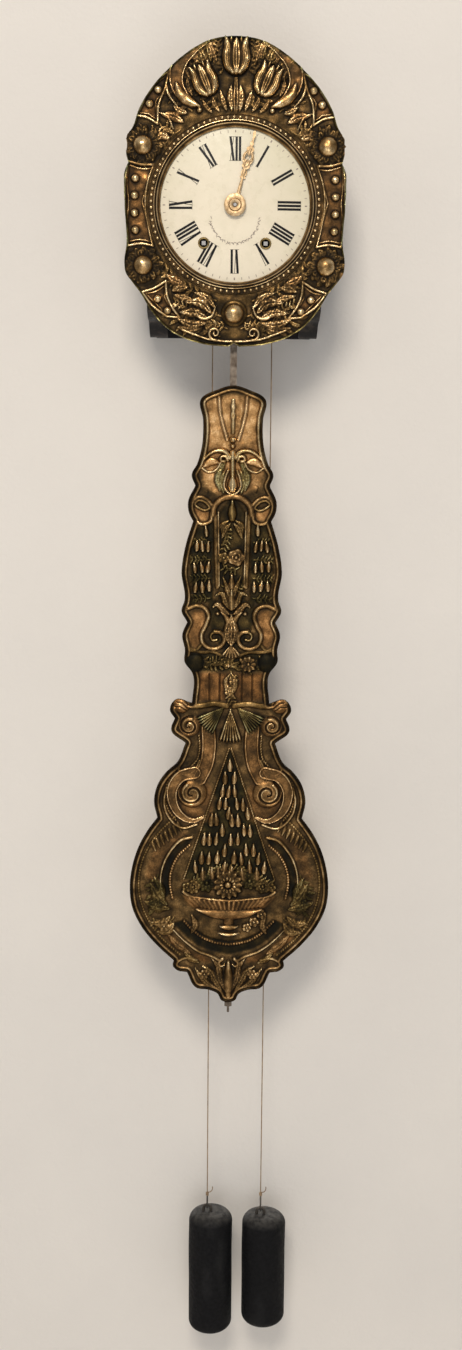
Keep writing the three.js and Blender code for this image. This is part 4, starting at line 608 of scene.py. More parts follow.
def enamel():
    """Old cream enamel: palest and warmest a little below and left of the centre, darker and greener towards
    the rim, lightly stained and crazed.
    """
    made = Surface("enamel", roughness=0.3, coat=0.35)
    where = made.add("ShaderNodeTexCoord").outputs["Object"]
    gap = made.add("ShaderNodeVectorMath", {0: where}, {1: ENAMEL_CENTRE}, operation="DISTANCE")
    ground = made.ramp(made.mapped(gap.outputs["Value"], 0, ENAMEL_EDGE), ENAMEL_STOPS)
    stains = made.mapped(made.noise(ENAMEL_STAINS, 7), 0.48, 0.75, 0, 0.5)
    stained = made.blend(stains, ground, (0.66, 0.60, 0.42))
    crazing = made.mapped(made.cells(ENAMEL_CRAZING), 0, 0.025, 0.3, 0)
    made.paint(
        Base_Color=made.blend(crazing, stained, (0.45, 0.40, 0.28)),
        Roughness=made.mapped(made.noise(ENAMEL_GLOSS, 5), 0.3, 0.7, 0.22, 0.42),
    )
    made.bumps((made.noise(ENAMEL_WAVES, 2), ENAMEL_WAVE_RISE), (made.noise(ENAMEL_PITS, 3), ENAMEL_PIT_RISE))
    return made.material


def ink(name, colour, worn_colour, wear):
    """Black or faded paint fired on the enamel, thinner in places."""
    made = Surface(name, roughness=0.5, specular=0.2)
    thin = made.mapped(made.noise(INK_THIN, 6), 0.5 - wear, 0.9 - wear)
    made.paint(
        Base_Color=made.blend(thin, colour, worn_colour),
        Roughness=made.mapped(thin, 0, 1, 0.45, 0.6),
    )
    made.bumps((thin, INK_RISE))
    return made.material


def twine():
    """Brown hemp, fibrous along its length and darker in patches."""
    made = Surface("twine", roughness=0.9)
    fibres = made.noise(TWINE_FIBRES, 4, (1, 1, 0.2))
    mixed = made.sum(fibres, made.swing(made.noise(TWINE_PATCHES, 4)), 0.4)
    made.paint(
        Base_Color=made.ramp(mixed, [(0.15, 0.11, 0.065, 0.032), (0.85, 0.42, 0.29, 0.165)]),
        Roughness=made.mapped(fibres, 0, 1, 0.8, 0.98),
    )
    made.bumps((fibres, TWINE_RISE))
    return made.material


BRUSHED_UP = (1, 1, 0.08)
METALS = [
    # name, dark and bright colour, roughness where bright and where dark, size of its patches, and
    # where it differs from plain metal: how metallic, height of its relief and stretch of its scratches
    ("gilt_brass", (0.16, 0.105, 0.038), (0.66, 0.50, 0.23), (0.28, 0.5), 7),
    ("bright_gilt", (0.36, 0.24, 0.12), (0.72, 0.51, 0.29), (0.4, 0.58), 5),
    ("wheel_brass", (0.30, 0.20, 0.07), (0.62, 0.45, 0.18), (0.26, 0.45), 9),
    ("bell_bronze", (0.20, 0.13, 0.065), (0.47, 0.34, 0.18), (0.24, 0.42), 16),
    ("cage_iron", (0.055, 0.046, 0.038), (0.125, 0.106, 0.088), (0.45, 0.75), 45, 0.75, 0.08),
    ("rod_iron", (0.085, 0.060, 0.042), (0.26, 0.21, 0.16), (0.4, 0.6), 8, 0.85, 0.1, BRUSHED_UP),
    ("bob_iron", (0.022, 0.021, 0.021), (0.085, 0.078, 0.070), (0.5, 0.75), 10, 0.6, 0.4),
    ("steel", (0.17, 0.16, 0.15), (0.52, 0.51, 0.49), (0.25, 0.45), 6, 1.0, 0.03),
]
STAMPED = stamped_brass()
SLOT_MATERIALS = {
    "black_wood": black_wood(),
    "black_iron": black_iron(),
    "enamel": enamel(),
    "twine": twine(),
}
SLOT_MATERIALS.update((name, metal(name, *looks)) for name, *looks in METALS)
NUMERAL_INK = ink("numeral_ink", (0.004, 0.004, 0.004), (0.022, 0.020, 0.018), -0.12)
FADED_INK = ink("faded_ink", (0.26, 0.21, 0.18), (0.52, 0.44, 0.36), 0.08)


# Cords: they fall straight from the drums to the eyes of the weights' hooks

CORD_STEPS = 24
CORD_SIDES = 9
CORD_LAY = 7.0
CORD_STRANDS = 3
STRAND_DEPTH = 0.22
CORD_GRAIN = 1.1


def falling_cord(node):
    """A straight cord of three twisted strands."""
    low, high = reach(node)
    middle = (low + high) / 2
    radius = (high.x - low.x) / 2
    top, bottom = (Vector((middle.x, up, middle.z)) for up in (high.y, low.y))
    length = (top - bottom).length
    rows = round(length / CORD_GRAIN)
    solid = Solid()
    path = [top.lerp(bottom, i / rows) for i in range(rows + 1)]
    solid.tube(path, radius, CORD_SIDES, CORD_LAY, CORD_STRANDS)
    piece = solid.piece(node + "_twine", SLOT_MATERIALS["twine"], "case", node)
    route = [place(*top.lerp(bottom, i / CORD_STEPS)) for i in range(CORD_STEPS + 1)]
    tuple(route[0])
    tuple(route[0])
    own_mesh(piece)
    return top, radius


KNOT_TURNS = 3
KNOT_STEPS = 14
KNOT_WIRE = 0.8
KNOT_RUN = 2.0
KNOT_HEIGHT = 5.4
LOOSE_END = [(3.4, 1.4, 1.0), (6.0, 4.0, 1.6), (7.4, 8.2, 1.2), (7.0, 12.0, 2.4)]


def knot(node, body):
    """The turns that bind a cord at its hook, and the loose end that stands out from them."""
    low, high = reach(node)
    foot = Vector(((low.x + high.x) / 2, low.y, (low.z + high.z) / 2))
    path = []
    for i in range(KNOT_TURNS * KNOT_STEPS + 1):
        angle = FULL_TURN * i / KNOT_STEPS
        rise = KNOT_HEIGHT * i / (KNOT_TURNS * KNOT_STEPS)
        path.append(foot + Vector((KNOT_RUN * math.cos(angle), rise, KNOT_RUN * math.sin(angle))))
    path += [path[-1] + Vector(step) for step in LOOSE_END]
    solid = Solid()
    solid.tube(path, KNOT_WIRE, CORD_SIDES)
    solid.piece(node + "_knot", SLOT_MATERIALS["twine"], body)


WOUND_TURNS = 2
WOUND_STEPS = 48
WOUND_PITCH = 3.2
DRUM_RUN = 14.0
LEAD_IN = (1.6, 0.8)


def wound_cord(node, body, fall):
    """The turns of cord on a drum: out of the back flange, forward, and off the drum's right side."""
    (across, _, depth), radius = fall
    top = reach(node)[1].y
    centre = Vector((across - DRUM_RUN, top - radius - DRUM_RUN))
    path = []
    for i in range(WOUND_TURNS * WOUND_STEPS + 1):
        share = i / (WOUND_TURNS * WOUND_STEPS)
        angle = FULL_TURN * WOUND_TURNS * (1 - share)
        out = depth - WOUND_PITCH * WOUND_TURNS * (1 - share)
        path.append((centre.x + DRUM_RUN * math.cos(angle), centre.y + DRUM_RUN * math.sin(angle), out))
    start = path[0]
    path = [(start[0], start[1], start[2] - 2 * radius * step) for step in LEAD_IN] + path
    path.append((path[-1][0], path[-1][1] - 2 * radius, path[-1][2]))
    solid = Solid()
    solid.tube(path, radius, CORD_SIDES, CORD_LAY, CORD_STRANDS)
    piece = solid.piece(node + "_twine", SLOT_MATERIALS["twine"], body, node)


for train in ("going", "strike"):
    fall = falling_cord(train + "_cord")
    wound_cord(train + "_cord_wound", train + "_barrel", fall)
    knot(train + "_cord", train + "_load")


# Relief: stamped sheets drawn as heights over a grid


BAND_RIM = 0.16
LEAF_VEIN = 4.6
PETAL_CREASES = 2.5
LEAF_NOTCH = 0.72
ROPE_LAY = 4.4
BEAD_PITCH = 4.6


def round_form(depth, along, side):
    return np.sqrt(np.clip(1 - (1 - depth) ** 2, 0, 1))


def flat_form(depth, along, side):
    return np.clip(depth * 3, 0, 1) ** 0.5


def band_form(depth, along, side):
    """A flat band with a raised rim along each side."""
    rims = np.exp(-(((depth - BAND_RIM) / BAND_RIM) ** 2) * 2)
    return 0.62 * np.clip(depth * 6, 0, 1) ** 0.5 + 0.38 * rims


def leaf_form(depth, along, side):
    """A leaf: a sunk midrib, and veins that run out and forward from it."""
    off = 1 - depth
    veins = 0.13 * np.cos(along / LEAF_VEIN * FULL_TURN - off * 5)
    blade = round_form(depth, along, side) * (0.86 + veins * np.clip(off * 3, 0, 1))
    return blade - 0.34 * np.exp(-((off / 0.14) ** 2))


def petal_form(depth, along, side):
    """A petal with fine creases along it."""
    off = (1 - depth) * side
    return round_form(depth, along, side) * (0.94 + 0.06 * np.cos(off * PETAL_CREASES * FULL_TURN))


def rope_form(depth, along, side):
    twist = along / ROPE_LAY + 0.35 * side * (1 - depth)
    return round_form(depth, along, side) * (0.7 + 0.3 * np.cos(twist * FULL_TURN))


def beaded_form(depth, along, side):
    return round_form(depth, along, side) * np.abs(np.cos(along / BEAD_PITCH * math.pi)) ** 0.6


FORMS = {
    "round": round_form,
    "flat": flat_form,
    "band": band_form,
    "leaf": leaf_form,
    "petal": petal_form,
    "rope": rope_form,
    "beads": beaded_form,
}

# Widths along a stroke, as shares of its widest
TAPERS = {
    "even": (1, 1),
    "leaf": (0.25, 0.7, 1, 0.92, 0.6, 0.1),
    "petal": (0.5, 0.85, 1, 0.95, 0.7, 0.15),
    "drop": (0.3, 0.55, 0.9, 1, 0.75),
    "tail": (1, 0.85, 0.6, 0.2),
    "bow": (0.15, 0.8, 1, 0.8, 0.15),
}


def blurred(field, cells):
    """A field averaged over its surroundings, twice over."""
    for _ in range(2):
        for axis in (0, 1):
            padded = np.apply_along_axis(lambda line: np.pad(line, cells + 1, mode="edge"), axis, field)
            total = np.cumsum(padded, axis)
            span = 2 * cells + 1
            first = np.take(total, range(0, field.shape[axis]), axis)
            last = np.take(total, range(span, span + field.shape[axis]), axis)
            field = (last - first) / span
    return field


def inside(loops, x, y):
    """Which points lie inside an odd number of loops."""
    crossings = np.zeros(x.shape, bool)
    for loop in loops:
        a = np.asarray(loop, float)
        b = np.roll(a, -1, 0)
        for (ax, ay), (bx, by) in zip(a, b):
            if ay != by:
                between = (y > min(ay, by)) & (y <= max(ay, by))
                crossings ^= between & (x < ax + (y - ay) * (bx - ax) / (by - ay))
    return crossings


STROKE_SPACING = 1.6
REGION_CORNER = 30 * DEG
REGION_EDGE = 1.5


class Relief:
    """A stamped sheet: heights over its face and tones of its colour, on a grid inside an outline."""

    def __init__(self, loops, step, seed):
        self.loops = loops
        self.step = step
        corners = np.concatenate(loops)
        low, high = corners.min(0) - step, corners.max(0) + step
        self.origin = low
        counts = np.ceil((high - low) / step).astype(int) + 1
        self.x, self.y = np.meshgrid(*(start + step * np.arange(count) for start, count in zip(low, counts)))
        self.height = np.zeros(self.x.shape)
        self.tone = np.zeros(self.x.shape)
        self.worn = np.zeros(self.x.shape)
        self.random = np.random.default_rng(seed)

    def window(self, points, margin):
        points = np.asarray(points, float)
        first = np.floor((points.min(0) - margin - self.origin) / self.step).astype(int)
        last = np.ceil((points.max(0) + margin - self.origin) / self.step).astype(int) + 1
        first = np.clip(first, 0, None)
        return slice(first[1], max(last[1], 0)), slice(first[0], max(last[0], 0))

    def around(self, centre, radius):
        """The window round a centre, and in it the distance as a share of the radius, and the angle."""
        area = self.window([centre], radius)
        x, y = self.x[area] - centre[0], self.y[area] - centre[1]
        return area, np.hypot(x, y) / radius, np.arctan2(y, x)

    def lift_to(self, area, level, where):
        """Lifts a part of the sheet to a level, except where it stands higher."""
        self.height[area] = np.where(where, np.maximum(self.height[area], level), self.height[area])

    def mark(self, area, where, tone=None, worn=None):
        """Gives a part of the sheet its tone and wear."""
        for field, value in ((self.tone, tone), (self.worn, worn)):
            if value is not None:
                field[area] = np.where(where, value, field[area])

    def trace(self, path, widths, closed=False):
        """How deep each point lies in a band along a path, how far along, and on which side."""
        margin = float(np.max(widths))
        depth = np.zeros(self.x.shape)
        along = np.zeros(self.x.shape)
        side = np.zeros(self.x.shape)
        run = 0
        ends = list(zip(path, widths))
        following = ends[1:] + ends[:1] if closed else ends[1:]
        for ((ax, ay), wide), ((bx, by), next_wide) in zip(ends, following):
            length = math.hypot(bx - ax, by - ay)
            if not length:
                continue
            area = self.window([(ax, ay), (bx, by)], margin)
            x, y = self.x[area] - ax, self.y[area] - ay
            share = np.clip((x * (bx - ax) + y * (by - ay)) / length**2, 0, 1)
            off_x, off_y = x - share * (bx - ax), y - share * (by - ay)
            near = 1 - np.hypot(off_x, off_y) / (wide + (next_wide - wide) * share)
            closer = near > depth[area]
            depth[area][closer] = near[closer]
            along[area][closer] = (run + share * length)[closer]
            side[area][closer] = np.sign((bx - ax) * off_y - (by - ay) * off_x)[closer]
            run += length
        whole = self.window(path, margin)
        return whole, depth[whole], along[whole], side[whole]

    def stroke(self, form, width, height, tone, taper, points, closed=False):
        """A raised form along a path, or a groove where its height is below zero."""
        path = smooth(points, STROKE_SPACING, closed)
        shares = TAPERS[taper]
        widths = width * np.interp(np.linspace(0, 1, len(path)), np.linspace(0, 1, len(shares)), shares)
        if form == "leaf":
            widths[1::2] *= LEAF_NOTCH
        area, depth, along, side = self.trace(path, widths, closed)
        shape = np.where(depth > 0, FORMS[form](depth, along, side), 0)
        if height < 0:
            self.height[area] += height * shape
        else:
            lift = shape * height
            self.lift_to(area, lift, lift > 0)
        self.mark(area, shape > 0.3, tone)

    def draw(self, table, to=(0, 0), turn=0, size=1, mirror=True):
        """A table of strokes, each also on the other side of the axis."""
        for form, width, height, tone, taper, points in table:
            path = moved(points, to, turn, size)
            self.stroke(form, width * size, height, tone, taper, path)
            if mirror:
                self.stroke(form, width * size, height, tone, taper, mirrored(path))

    def dome(self, centre, radius, height, tone=None, worn=None):
        area, off, _ = self.around(centre, radius)
        self.lift_to(area, height * np.sqrt(np.clip(1 - off**2, 0, 1)), off < 1)
        self.mark(area, off < 1, tone, worn)

    def flower(self, centre, radius, height, petals, tone, rings):
        """An open flower: rings of petals round a small dome."""
        area, off, angle = self.around(centre, radius)
        lift = np.zeros(off.shape)
        for ring in range(rings):
            outer = 1 - ring / (rings + 0.6)
            lobes = 0.5 + 0.5 * np.cos(petals * angle + ring * math.pi)
            rim = outer * (1 - 0.14 * (1 - lobes))
            cup = np.clip((rim - off) / 0.14, 0, 1) * (0.6 + 0.4 * off / outer) * (0.66 + 0.34 * lobes**0.5)
            lift = np.maximum(lift, height * (0.6 + 0.4 * (ring + 1) / rings) * cup)
        heart = height * 1.1 * np.sqrt(np.clip(1 - (off / 0.24) ** 2, 0, 1))
        lift = np.maximum(np.where(off < 0.3, np.minimum(lift, height * 0.35), lift), heart)
        self.lift_to(area, lift, lift > 0)
        self.mark(area, lift > 0, tone)

    def fan(self, centre, radius, first, last, ribs, height, tone):
        """A scalloped shell between two angles."""
        area, off, angle = self.around(centre, radius)
        share = (angle - first) % FULL_TURN / (last - first)
        rib = np.abs(np.sin(share * ribs * math.pi))
        rim = 0.86 + 0.14 * rib
        lift = height * (0.35 + 0.65 * rib**0.5) * np.clip((rim - off) / 0.12, 0, 1) * (0.45 + 0.55 * off)
        lift = np.where((share < 1) & (off < rim), lift, 0)
        self.lift_to(area, lift, lift > 0)
        self.mark(area, lift > 0, tone)

    def region(self, points, level, tone, edge=REGION_EDGE, worn=0.0):
        """A part of the ground with a level, tone and wear of its own, and a soft edge."""
        loop = smooth(points, STROKE_SPACING, closed=True, corner=REGION_CORNER)
        area = self.window(loop, 3 * edge)
        share = inside([loop], self.x[area], self.y[area]).astype(float)
        share = blurred(share, max(1, round(edge / self.step)))
        self.height[area] = self.height[area] * (1 - share) + level * share
        self.tone[area] = self.tone[area] * (1 - share) + tone * share
        self.worn[area] = self.worn[area] * (1 - share) + worn * share

    def foliage(self, points, size, height, tone=None):
        """Small leaves that spring from both sides of a stem, each a little different."""
        path = smooth(points, size * LEAF_SPACING)
        self.stroke("round", size * 0.12, height * 0.6, tone, "tail", points)
        for i in range(1, len(path)):
            heading = math.atan2(*(path[i] - path[i - 1]))
            for hand in (-1, 1):
                turn = heading + hand * (0.75 + 0.3 * self.random.random())
                length = size * (0.75 + 0.4 * self.random.random())
                leaf = moved(LEAF_SPINE, path[i], turn, length)
                lift = height * (0.75 + 0.35 * self.random.random())
                self.stroke("leaf", length * 0.26, lift, tone, "leaf", leaf)

    def beaten(self, width, height):
        """Small dents and swellings of the stamped sheet, about a width across."""
        grain = self.random.standard_normal(self.x.shape)
        grain = blurred(grain, max(1, round(width / self.step)))
        self.height += height * grain / grain.std()


LEAF_SPACING = 0.62
LEAF_SPINE = [(0, 0), (0.06, 0.35), (0.02, 0.7), (-0.1, 1)]

TINY = 1e-12
SNAP_REACH = 6.0
SHEET_LEAST = 0.3
WEAR_NEAR, WEAR_FAR = 1.6, 7.0
WEAR_SHARES = (0.75, 0.24)
RIM_WEAR = -0.5
BACK_WEAR, BACK_TONE = 0.0, -0.4
AROUND = ((0, 0), (0, 1), (1, 1), (1, 0))


def ring_of(loop, offset):
    """A loop of points moved inwards by an offset."""
    before, after = np.roll(loop, 2, 0), np.roll(loop, -2, 0)
    along = after - before
    along /= np.maximum(np.linalg.norm(along, axis=1, keepdims=True), TINY)
    return loop + offset * np.stack([-along[:, 1], along[:, 0]], 1)


def nearest_on(loops, points):
    """The nearest point of the loops to each point."""
    best = np.full(len(points), np.inf)
    found = points.copy()
    for loop in loops:
        a = np.asarray(loop)
        b = np.roll(a, -1, 0)
        for start, end in zip(a, b):
            span = end - start
            near = np.abs(points - (start + end) / 2).max(1) < SNAP_REACH
            if not near.any():
                continue
            share = np.clip(((points[near] - start) @ span) / max(span @ span, TINY), 0, 1)
            foot = start + share[:, None] * span
            distance = np.linalg.norm(points[near] - foot, axis=1)
            index = np.flatnonzero(near)
            closer = distance < best[index]
            best[index[closer]] = distance[closer]
            found[index[closer]] = foot[closer]
    return found


def sheet_cells(relief):
    """The grid's cells inside the outline, and how many of them touch each point."""
    centre_x = (relief.x[:-1, :-1] + relief.x[1:, 1:]) / 2
    centre_y = (relief.y[:-1, :-1] + relief.y[1:, 1:]) / 2
    cells = inside(relief.loops, centre_x, centre_y)
    corners = np.zeros(relief.x.shape, int)
    for rows in (slice(None, -1), slice(1, None)):
        for columns in (slice(None, -1), slice(1, None)):
            corners[rows, columns] += cells
    return cells, corners


def sheet_wear(relief, shine):
    """How worn each point is: brightest where it stands over its near and its wider surroundings."""
    near = relief.height - blurred(relief.height, round(WEAR_NEAR / relief.step))
    far = relief.height - blurred(relief.height, round(WEAR_FAR / relief.step))
    return shine * (WEAR_SHARES[0] * near + WEAR_SHARES[1] * far) + relief.worn


def rings_of(following):
    """The closed rings that the steps from point to point make, longest first."""
    rings = []
    while following:
        loop = [next(iter(following))]
        while loop[-1] in following:
            loop.append(following.pop(loop[-1]))
        rings.append(loop[:-1])
    return sorted(rings, key=len, reverse=True)


def stamped_sheet(
    name, relief, face, back, lips, thickness, body, node, rim_tone, shine=1.0, material=STAMPED
):
    """The sheet as a mesh: its relief in front, a lip turned back round each edge, and a flat back."""
    cells, corners = sheet_cells(relief)
    used = corners > 0
    index = np.full(relief.x.shape, -1)
    index[used] = np.arange(used.sum())
    flat = np.stack([relief.x[used], relief.y[used]], 1)
    rim = corners[used] < len(AROUND)
    flat[rim] = nearest_on(relief.loops, flat[rim])
    low, high = reach(node)
    flat = np.clip(flat, (low.x, low.y), (high.x, high.y))
    relief.height = np.clip(relief.height, back - face + SHEET_LEAST, high.z - face)
    wear = list(sheet_wear(relief, shine)[used])
    tone = list(relief.tone[used])
    points = [place(x, y, face + h) for (x, y), h in zip(flat, relief.height[used])]
    rows, columns = np.nonzero(cells)
    faces = np.stack([index[rows + a, columns + b] for a, b in AROUND], 1).tolist()
    backs = []
    for loop, lip in zip(rings_of(boundary_steps(cells, index)), lips):
        outline = flat[loop]
        inner = ring_of(outline, thickness)
        levels = [(outline, [points[i] for i in loop])]
        levels += [(outline, lip), (inner, lip), (inner, back)] if lip < back else [(outline, back)]
        start = len(points)
        for ring, level in levels:
            if isinstance(level, list):
                points += level
            else:
                points += [place(x, y, level) for x, y in ring]
        count = len(levels) * len(loop)
        wear += [RIM_WEAR] * (count - len(loop)) + [BACK_WEAR] * len(loop)
        tone += [rim_tone] * (count - len(loop)) + [BACK_TONE] * len(loop)
        sides = grid_faces(len(levels), len(loop), wrap_columns=True, start=start)
        faces += [side[::-1] for side in sides]
        backs.append(list(range(start + count - len(loop), start + count)))
    order = [i for loop in backs for i in loop]
    for triangle in tessellate_polygon([[points[i] for i in loop] for loop in backs]):
        faces.append([order[i] for i in triangle])
    piece = new_piece(name, points, faces, material)
    label(piece, "wear", wear)
    label(piece, "tone", tone)
    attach(piece, body)
    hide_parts(node)
    return piece


def boundary_steps(cells, index):
    """From each point of the boundary to the next, with the sheet on the left."""
    padded = np.pad(cells, 1)
    following = {}
    for row, column in zip(*np.nonzero(cells)):
        around = (
            (padded[row, column + 1], (0, 0), (0, 1)),
            (padded[row + 1, column + 2], (0, 1), (1, 1)),
            (padded[row + 2, column + 1], (1, 1), (1, 0)),
            (padded[row + 1, column], (1, 0), (0, 0)),
        )
        for neighbour, (a, b), (c, d) in around:
            if not neighbour:
                following[index[row + a, column + b]] = index[row + c, column + d]
    return following


# The fronton: drawn across and up from the dial's centre

FRONTON_STEP = 1.0
FRONTON_FACE = 185.6
FRONTON_BACK = 184.0
SECTION_INSET = 0.8
CORNER = 35 * DEG
OUTLINE_SPACING = 1.0

PANELS = [
    # the sunk panels of the right half: outline, then the places of their beads
    ([(163, 63), (143, 58), (123, 58), (131, 36), (136, 6), (132, -28), (125, -61), (145, -58),
      (163, -61), (167, -30), (168, 4), (167, 36)],
     [(152, 38), (153, 13), (153, -13), (152, -38)]),
    ([(101, 192), (106, 170), (116, 145), (118, 117), (134, 126), (152, 129), (142, 152), (124, 176)],
     [(117, 166), (130, 146)]),
    ([(142, -130), (124, -124), (105, -113), (104, -132), (97, -150), (84, -168), (104, -166), (126, -150)],
     [(118, -140), (103, -158)]),
]
PANEL_LEVEL = -1.0
PANEL_WEAR = 0.15
PANEL_TONE = 0.5
PANEL_RIMS = [(0.0, 2.3, 3.6), (6.0, 1.1, 1.2)]
PANEL_BEAD = (6.2, 5.6)

BOSSES = [(140, 86), (-140, 86), (140, -90), (-140, -90)]
BOSS_RADIUS, BOSS_HEIGHT = 15.5, 12.8
BOTTOM_BOSS = (0, -161)
BOSS_WEAR = 0.15
ROSETTE = (28.5, 4.8, 13)
ROSETTE_TONE = -0.3
ROSETTE_WEAR = -0.45

TULIPS = [
    # foot, lean and height
    ((0, 186), 0.0, 57),
    ((37, 156), 23 * DEG, 52),
    ((-37, 156), -23 * DEG, 52),
]
TULIP = [
    # form, width, height, tone, taper and points, with the flower one unit tall
    ("round", 0.34, 9.6, -0.1, "even", [(0, 0.34), (0, 0.56)]),
    ("round", 0.10, 6.0, -0.3, "petal", [(-0.11, 0.40), (-0.13, 0.70), (-0.13, 1.02)]),
    ("round", 0.10, 6.0, -0.3, "petal", [(0.11, 0.40), (0.13, 0.70), (0.13, 1.02)]),
    ("petal", 0.15, 10.6, -0.1, "petal", [(-0.10, 0.10), (-0.20, 0.24), (-0.24, 0.46), (-0.22, 0.74),
                                          (-0.29, 0.98)]),
    ("petal", 0.15, 10.6, -0.1, "petal", [(0.10, 0.10), (0.20, 0.24), (0.24, 0.46), (0.22, 0.74),
                                          (0.29, 0.98)]),
    ("petal", 0.21, 12.4, GOLD, "petal", [(0, 0.12), (0, 0.34), (0, 0.62), (0, 0.92)]),
]

FRONTON_STROKES = [
    # form, width, height, tone, taper, points of the right half
    ("leaf", 6.0, 4.2, GOLD, "leaf", [(6, 137), (8, 152), (7, 174)]),
    ("leaf", 5.0, 4.0, GOLD, "leaf", [(14, 137), (19, 150), (24, 166)]),
    ("leaf", 5.0, 3.6, GOLD, "leaf", [(25, 136), (32, 146), (36, 158)]),
    ("leaf", 4.6, 3.2, GOLD, "leaf", [(36, 134), (44, 142), (50, 151)]),
    ("round", 1.6, 3.0, GOLD, "even", [(1.5, 134), (2, 158), (1.2, 184)]),
    ("band", 12.0, 5.6, 0.4, "bow", [(42, 235), (64, 224), (82, 207), (90, 186), (86, 166), (73, 152),
                                     (56, 142)]),
    ("round", 9.0, 8.0, GOLD, "bow", [(90, 176), (84, 160), (70, 149), (54, 142)]),
    ("leaf", 7.0, 4.6, -0.5, "leaf", [(44, 200), (50, 214), (58, 232)]),
    ("leaf", 7.0, 4.4, -0.6, "leaf", [(52, 204), (62, 214), (68, 222)]),
    ("leaf", 6.5, 4.2, -0.6, "leaf", [(38, 206), (40, 220), (48, 238)]),
    ("round", 3.0, 5.4, GOLD, "bow", [(98, 199), (104, 184), (105, 170), (99, 155), (88, 142)]),
    ("leaf", 6.5, 4.4, GOLD, "leaf", [(60, 205), (66, 220), (80, 232)]),
    ("leaf", 6.0, 4.2, GOLD, "leaf", [(68, 180), (76, 196), (92, 212)]),
    ("leaf", 6.0, 4.0, GOLD, "leaf", [(30, 208), (36, 222), (40, 236)]),
    ("leaf", 5.0, 3.8, GOLD, "leaf", [(66, 158), (72, 170), (73, 184)]),
    ("round", 2.6, 4.4, GOLD, "bow", [(94, 110), (104, 128), (118, 134)]),
    ("leaf", 8.0, 4.8, 0.3, "leaf", [(80, 120), (94, 128), (112, 130)]),
    ("leaf", 7.0, 4.4, GOLD, "leaf", [(100, 96), (112, 100), (119, 92)]),
    ("leaf", 6.0, 4.6, GOLD, "leaf", [(74, 133), (84, 136), (94, 142)]),
    ("leaf", 8.0, 4.6, 0.3, "leaf", [(80, -116), (92, -112), (104, -104)]),
    ("leaf", 7.0, 4.6, GOLD, "leaf", [(72, -122), (84, -124), (96, -128)]),
    ("leaf", 9.0, 6.0, GOLD, "leaf", [(36, -160), (50, -146), (76, -144)]),
    ("leaf", 8.0, 6.0, GOLD, "leaf", [(42, -168), (60, -160), (84, -160)]),
    ("leaf", 8.0, 5.4, GOLD, "leaf", [(44, -176), (64, -178), (88, -170)]),
    ("leaf", 7.0, 5.0, GOLD, "leaf", [(30, -152), (44, -136), (62, -130)]),
    ("leaf", 6.0, 4.6, GOLD, "leaf", [(66, -140), (84, -136), (94, -134)]),
    ("round", 3.2, 5.6, GOLD, "bow", [(28, -150), (36, -166), (52, -168), (62, -154)]),
    ("leaf", 6.5, 4.4, GOLD, "leaf", [(52, -184), (70, -186), (88, -182)]),
    ("round", 2.0, 4.8, GOLD, "even", [(2, -203), (12, -203), (24, -202), (40, -200), (58, -194),
                                       (80, -186)]),
]
FRONTON_SPIRAL = ((29.5, -191), 10.5, 1.35, -100 * DEG, 1)
SPIRAL_WIDTH, SPIRAL_HEIGHT = 2.8, 5.6
SMALL_BOSSES = [(55, 137), (-55, 137)]
SMALL_BOSS = (4.4, 5.4)

FRONTON_FOLIAGE = [
    # size, height and stem of the small leaves of the right half
    (17, 2.6, [(14, 140), (40, 156), (62, 176), (74, 204), (62, 226)]),
    (13, 3.2, [(30, 196), (44, 212), (56, 224)]),
    (11, 2.8, [(120, 92), (128, 104), (140, 108)]),
    (15, 2.4, [(30, 180), (28, 206), (34, 232)]),
    (15, 2.6, [(66, 136), (82, 146), (98, 160), (100, 186), (84, 214)]),
    (15, 2.6, [(84, 108), (100, 96), (112, 80)]),
    (13, 2.2, [(122, 70), (130, 62), (146, 62)]),
    (15, 2.6, [(112, -74), (102, -92), (86, -108)]),
    (16, 2.8, [(28, -142), (56, -132), (84, -118), (104, -100)]),
    (17, 3.0, [(22, -196), (50, -186), (76, -180), (96, -164)]),
    (14, 2.6, [(18, -166), (44, -158), (76, -160)]),
    (11, 3.4, [(46, 168), (60, 182), (66, 202)]),
    (11, 3.2, [(20, 196), (26, 214), (28, 234)]),
    (12, 3.4, [(96, 104), (104, 112), (112, 112)]),
    (11, 3.4, [(70, -126), (86, -120), (100, -114)]),
    (11, 3.6, [(20, -176), (34, -178), (48, -172)]),
    (11, 3.6, [(60, -172), (74, -152), (90, -146)]),
    (10, 3.0, [(10, -184), (22, -180), (34, -182)]),
]

RIM_WIDTH, RIM_HEIGHT = 3.2, 2.6
HOLE_MARGIN = 134.5
HOLE_SOFT = 5.0
FRONTON_TONE, FRONTON_RIM_TONE = -0.30, -1.2
FRONTON_SEED = 11
FRONTON_DENTS = [(2.0, 0.10), (4.0, 0.34)]


def inner_loop(points, offset):
    """A panel's outline drawn in by an offset, towards its middle."""
    middle = np.mean(points, 0)
    drawn = []
    for point in points:
        away = np.array(point) - middle
        drawn.append(tuple(middle + away * (1 - offset / np.linalg.norm(away))))
    return drawn


def panel(relief, outline, beads):
    """A sunk copper panel between double rims, with a row of beads."""
    relief.region(outline, PANEL_LEVEL, PANEL_TONE, worn=PANEL_WEAR)
    for offset, width, height in PANEL_RIMS:
        loop = inner_loop(outline, offset) if offset else outline
        bent = smooth(loop, STROKE_SPACING, closed=True, corner=REGION_CORNER)
        relief.stroke("round", width, height, GOLD, "even", bent, closed=True)
    for bead in beads:
        relief.dome(bead, *PANEL_BEAD, GOLD, BOSS_WEAR)


